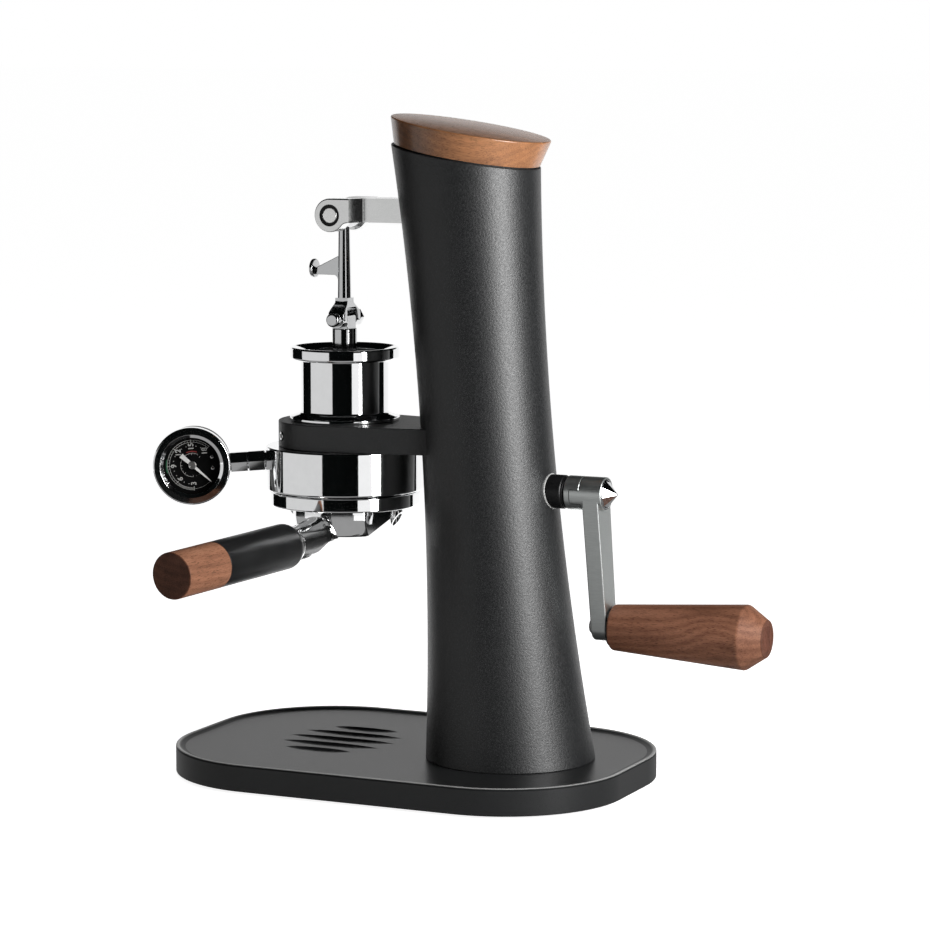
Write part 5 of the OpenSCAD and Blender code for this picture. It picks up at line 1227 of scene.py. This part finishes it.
# ---- Portafilter ----------------------------------------------------------------------------
# A chromed casting: a bowl with lugs that lock in the group ring, a rim, a bowed keel that slopes
# up behind, and two outlets. It holds the perforated basket on a wire spring.
porta_high = span("portafilter_body")[1]
rim_r, rim_h, bowl_r, bowl_in, lug_r = 41.9, 7.8, 34.6, 30.2, 38.6
rim_top = ring_low.z - 0.9
rim_low = rim_top - rim_h
porta_place = group_place @ spun(grip_turn, "Z")
body = turned("porta_bowl", [(0, rim_low), (rim_r, rim_low, 0.9), (rim_r, rim_top, 0.9),
    (bowl_r, rim_top), (bowl_r, porta_high.z, 0.4), (bowl_in, porta_high.z, 0.4),
    (bowl_in, rim_low + 2.8, 2.0), (0, rim_low + 2.8)], group_place, steps=144)
for way in (-1, 1):
    lug = turned("lug", [(bowl_r - 1, groove_low + 0.6), (lug_r, groove_low + 0.6),
        (lug_r, groove_low + 4.8), (bowl_r - 1, groove_low + 4.8)], group_place)
    y0, y1 = sorted((0, way * 45))
    cut(lug, box_outline(-10, 10, y0, y1, 0.8), groove_low - 1, groove_low + 6, porta_place,
        "INTERSECT")
    carve(body, lug, "UNION")
keel_r, keel_half, keel_h, keel_back = 29.0, 24.2, 15.2, -26
rows = []
for drawn, drop in ((0, -1.4), (0, 5.5), (0.1, 7.5), (0.4, 10), (0.9, 12.6), (1.4, 14.4),
        (2.0, keel_h)):
    sweep = degrees(asin(keel_half / (keel_r - drawn)))
    bow = arc(0, 0, keel_r - drawn, -sweep, sweep, 24)
    plan = eased([(keel_back, -keel_half), (*bow[0], 2.0), *bow[1:-1], (*bow[-1], 2.0),
        (keel_back, keel_half)])
    rows.append([(*p, rim_low - drop) for p in plan])
keel = solid("keel", *lofted(rows), porta_place)
slope = [(20, rim_low - keel_h - 1.9), (-60, rim_low - keel_h + 23.4), (-60, rim_low - 40),
    (20, rim_low - 40)]
cut(keel, slope, -60, 60, porta_place @ facing_y)
carve(body, keel, "UNION")
nozzle_off, nozzle_l = 34.5, 10.6
for way in (-1, 1):
    at = porta_place @ moved(0, way * nozzle_off, 0)
    nozzle = turned("nozzle", [(0, rim_low - nozzle_l), (3.2, rim_low - nozzle_l, 0.3),
        (3.9, rim_low - 5.4, 2.0), (3.3, rim_low - 1.4, 0.8), (4.3, rim_low + 0.5),
        (0, rim_low + 0.5)], at, steps=48)
    slant = at @ moved(0, 0, rim_low - 6.6) @ spun(way * 54, "X")
    cut(nozzle, box_outline(-9, 9, -14, 14, 0.5), -20, 0, slant)
    carve(body, nozzle, "UNION")
    drilled(body, 2.6, rim_low - 12, rim_low + 1.2, at)
fitted(body, chrome, "portafilter", "chrome", "portafilter_body")
dressed(steel, "coffee_basket", "basket_spring", "tie_rod")

# ---- Portafilter grip -----------------------------------------------------------------------
# A chromed neck, scooped below where it meets the keel, a black turned sleeve and a walnut end.
# A tie rod along their axis draws them together.
grip_z, grip_fall, tie_hole = 134.4, 1.6, 4.05
grip_place = moved(group_x, 0, grip_z) @ spun(grip_turn, "Z") @ spun(grip_fall, "Y")
grip_axis = grip_place @ along_x
grip_root, ferrule, grip_r = 55.4, 2.6, 12.5
ferrule_x = grip_root - ferrule
sections = [(24.0, 11.5, 0.1), (28.4, 11.5, 0.1), (28.8, 11.9, 0.1), (29.7, 11.9, 0.12),
    (30.2, 11.3, 0.2), (31.5, 11.0, 0.4), (33.0, 10.7, 0.64), (35.0, 10.5, 0.86),
    (37.0, 10.3, 0.98), (39.0, 10.1, 1.06), (42.0, 9.9, 1.09), (46.0, 9.6, 1.1), (50.0, 9.4, 1.08),
    (ferrule_x - 0.2, 9.3, 1.05), (ferrule_x, 9.8, 1.03), (ferrule_x + 0.4, 10.0, 1.02),
    (grip_root - 0.5, 10.0, 1), (grip_root - 0.02, 9.7, 1)]
ring = [2 * pi * k / 96 for k in range(96)]
neck = solid("grip_neck", *lofted([[(r * cos(a) * (low if cos(a) > 0 else 1), r * sin(a), x)
    for a in ring] for x, r, low in sections]), grip_axis)
fitted(neck, chromed("cast_chrome", (0.92, 0.92, 0.92), 0.1), "portafilter", "chrome",
    "portafilter_neck")
sleeve_l, wood_l = 68.6, 35.99
sleeve = turned("grip_tube", [(tie_hole, grip_root), (9.0, grip_root, 0.3),
    *[(8.9 + 3.6 * sin(radians(a)), grip_root + 5 - 5 * cos(radians(a))) for a in range(9, 90, 9)],
    (grip_r, grip_root + 5.2), (grip_r, grip_root + sleeve_l - 0.03, 0.25),
    (tie_hole, grip_root + sleeve_l - 0.03)], grip_axis, steps=112)
grip_black = moulded("grip_black", (0.004, 0.0041, 0.0043), 0.34, 1800.0, 0.06,
    Specular_IOR_Level=0.35)
fitted(sleeve, grip_black, "portafilter", "black", "grip_sleeve")
wood_x = grip_root + sleeve_l
grip_walnut = walnut("grip_walnut", grip_place, (1.02, 1.16, 1.18), heart=(0.006, 0.022),
    figure=0.1, end=(wood_x + wood_l - 0.39) / 1000, Specular_IOR_Level=0.12)
knob = turned("grip_knob", [(tie_hole, wood_x), (grip_r, wood_x, 0.25),
    (grip_r, wood_x + wood_l, 0.8), (0, wood_x + wood_l), (0, wood_x + 20),
    (tie_hole, wood_x + 20)], grip_axis, steps=112)
fitted(knob, grip_walnut, "portafilter", "walnut", "grip_end")
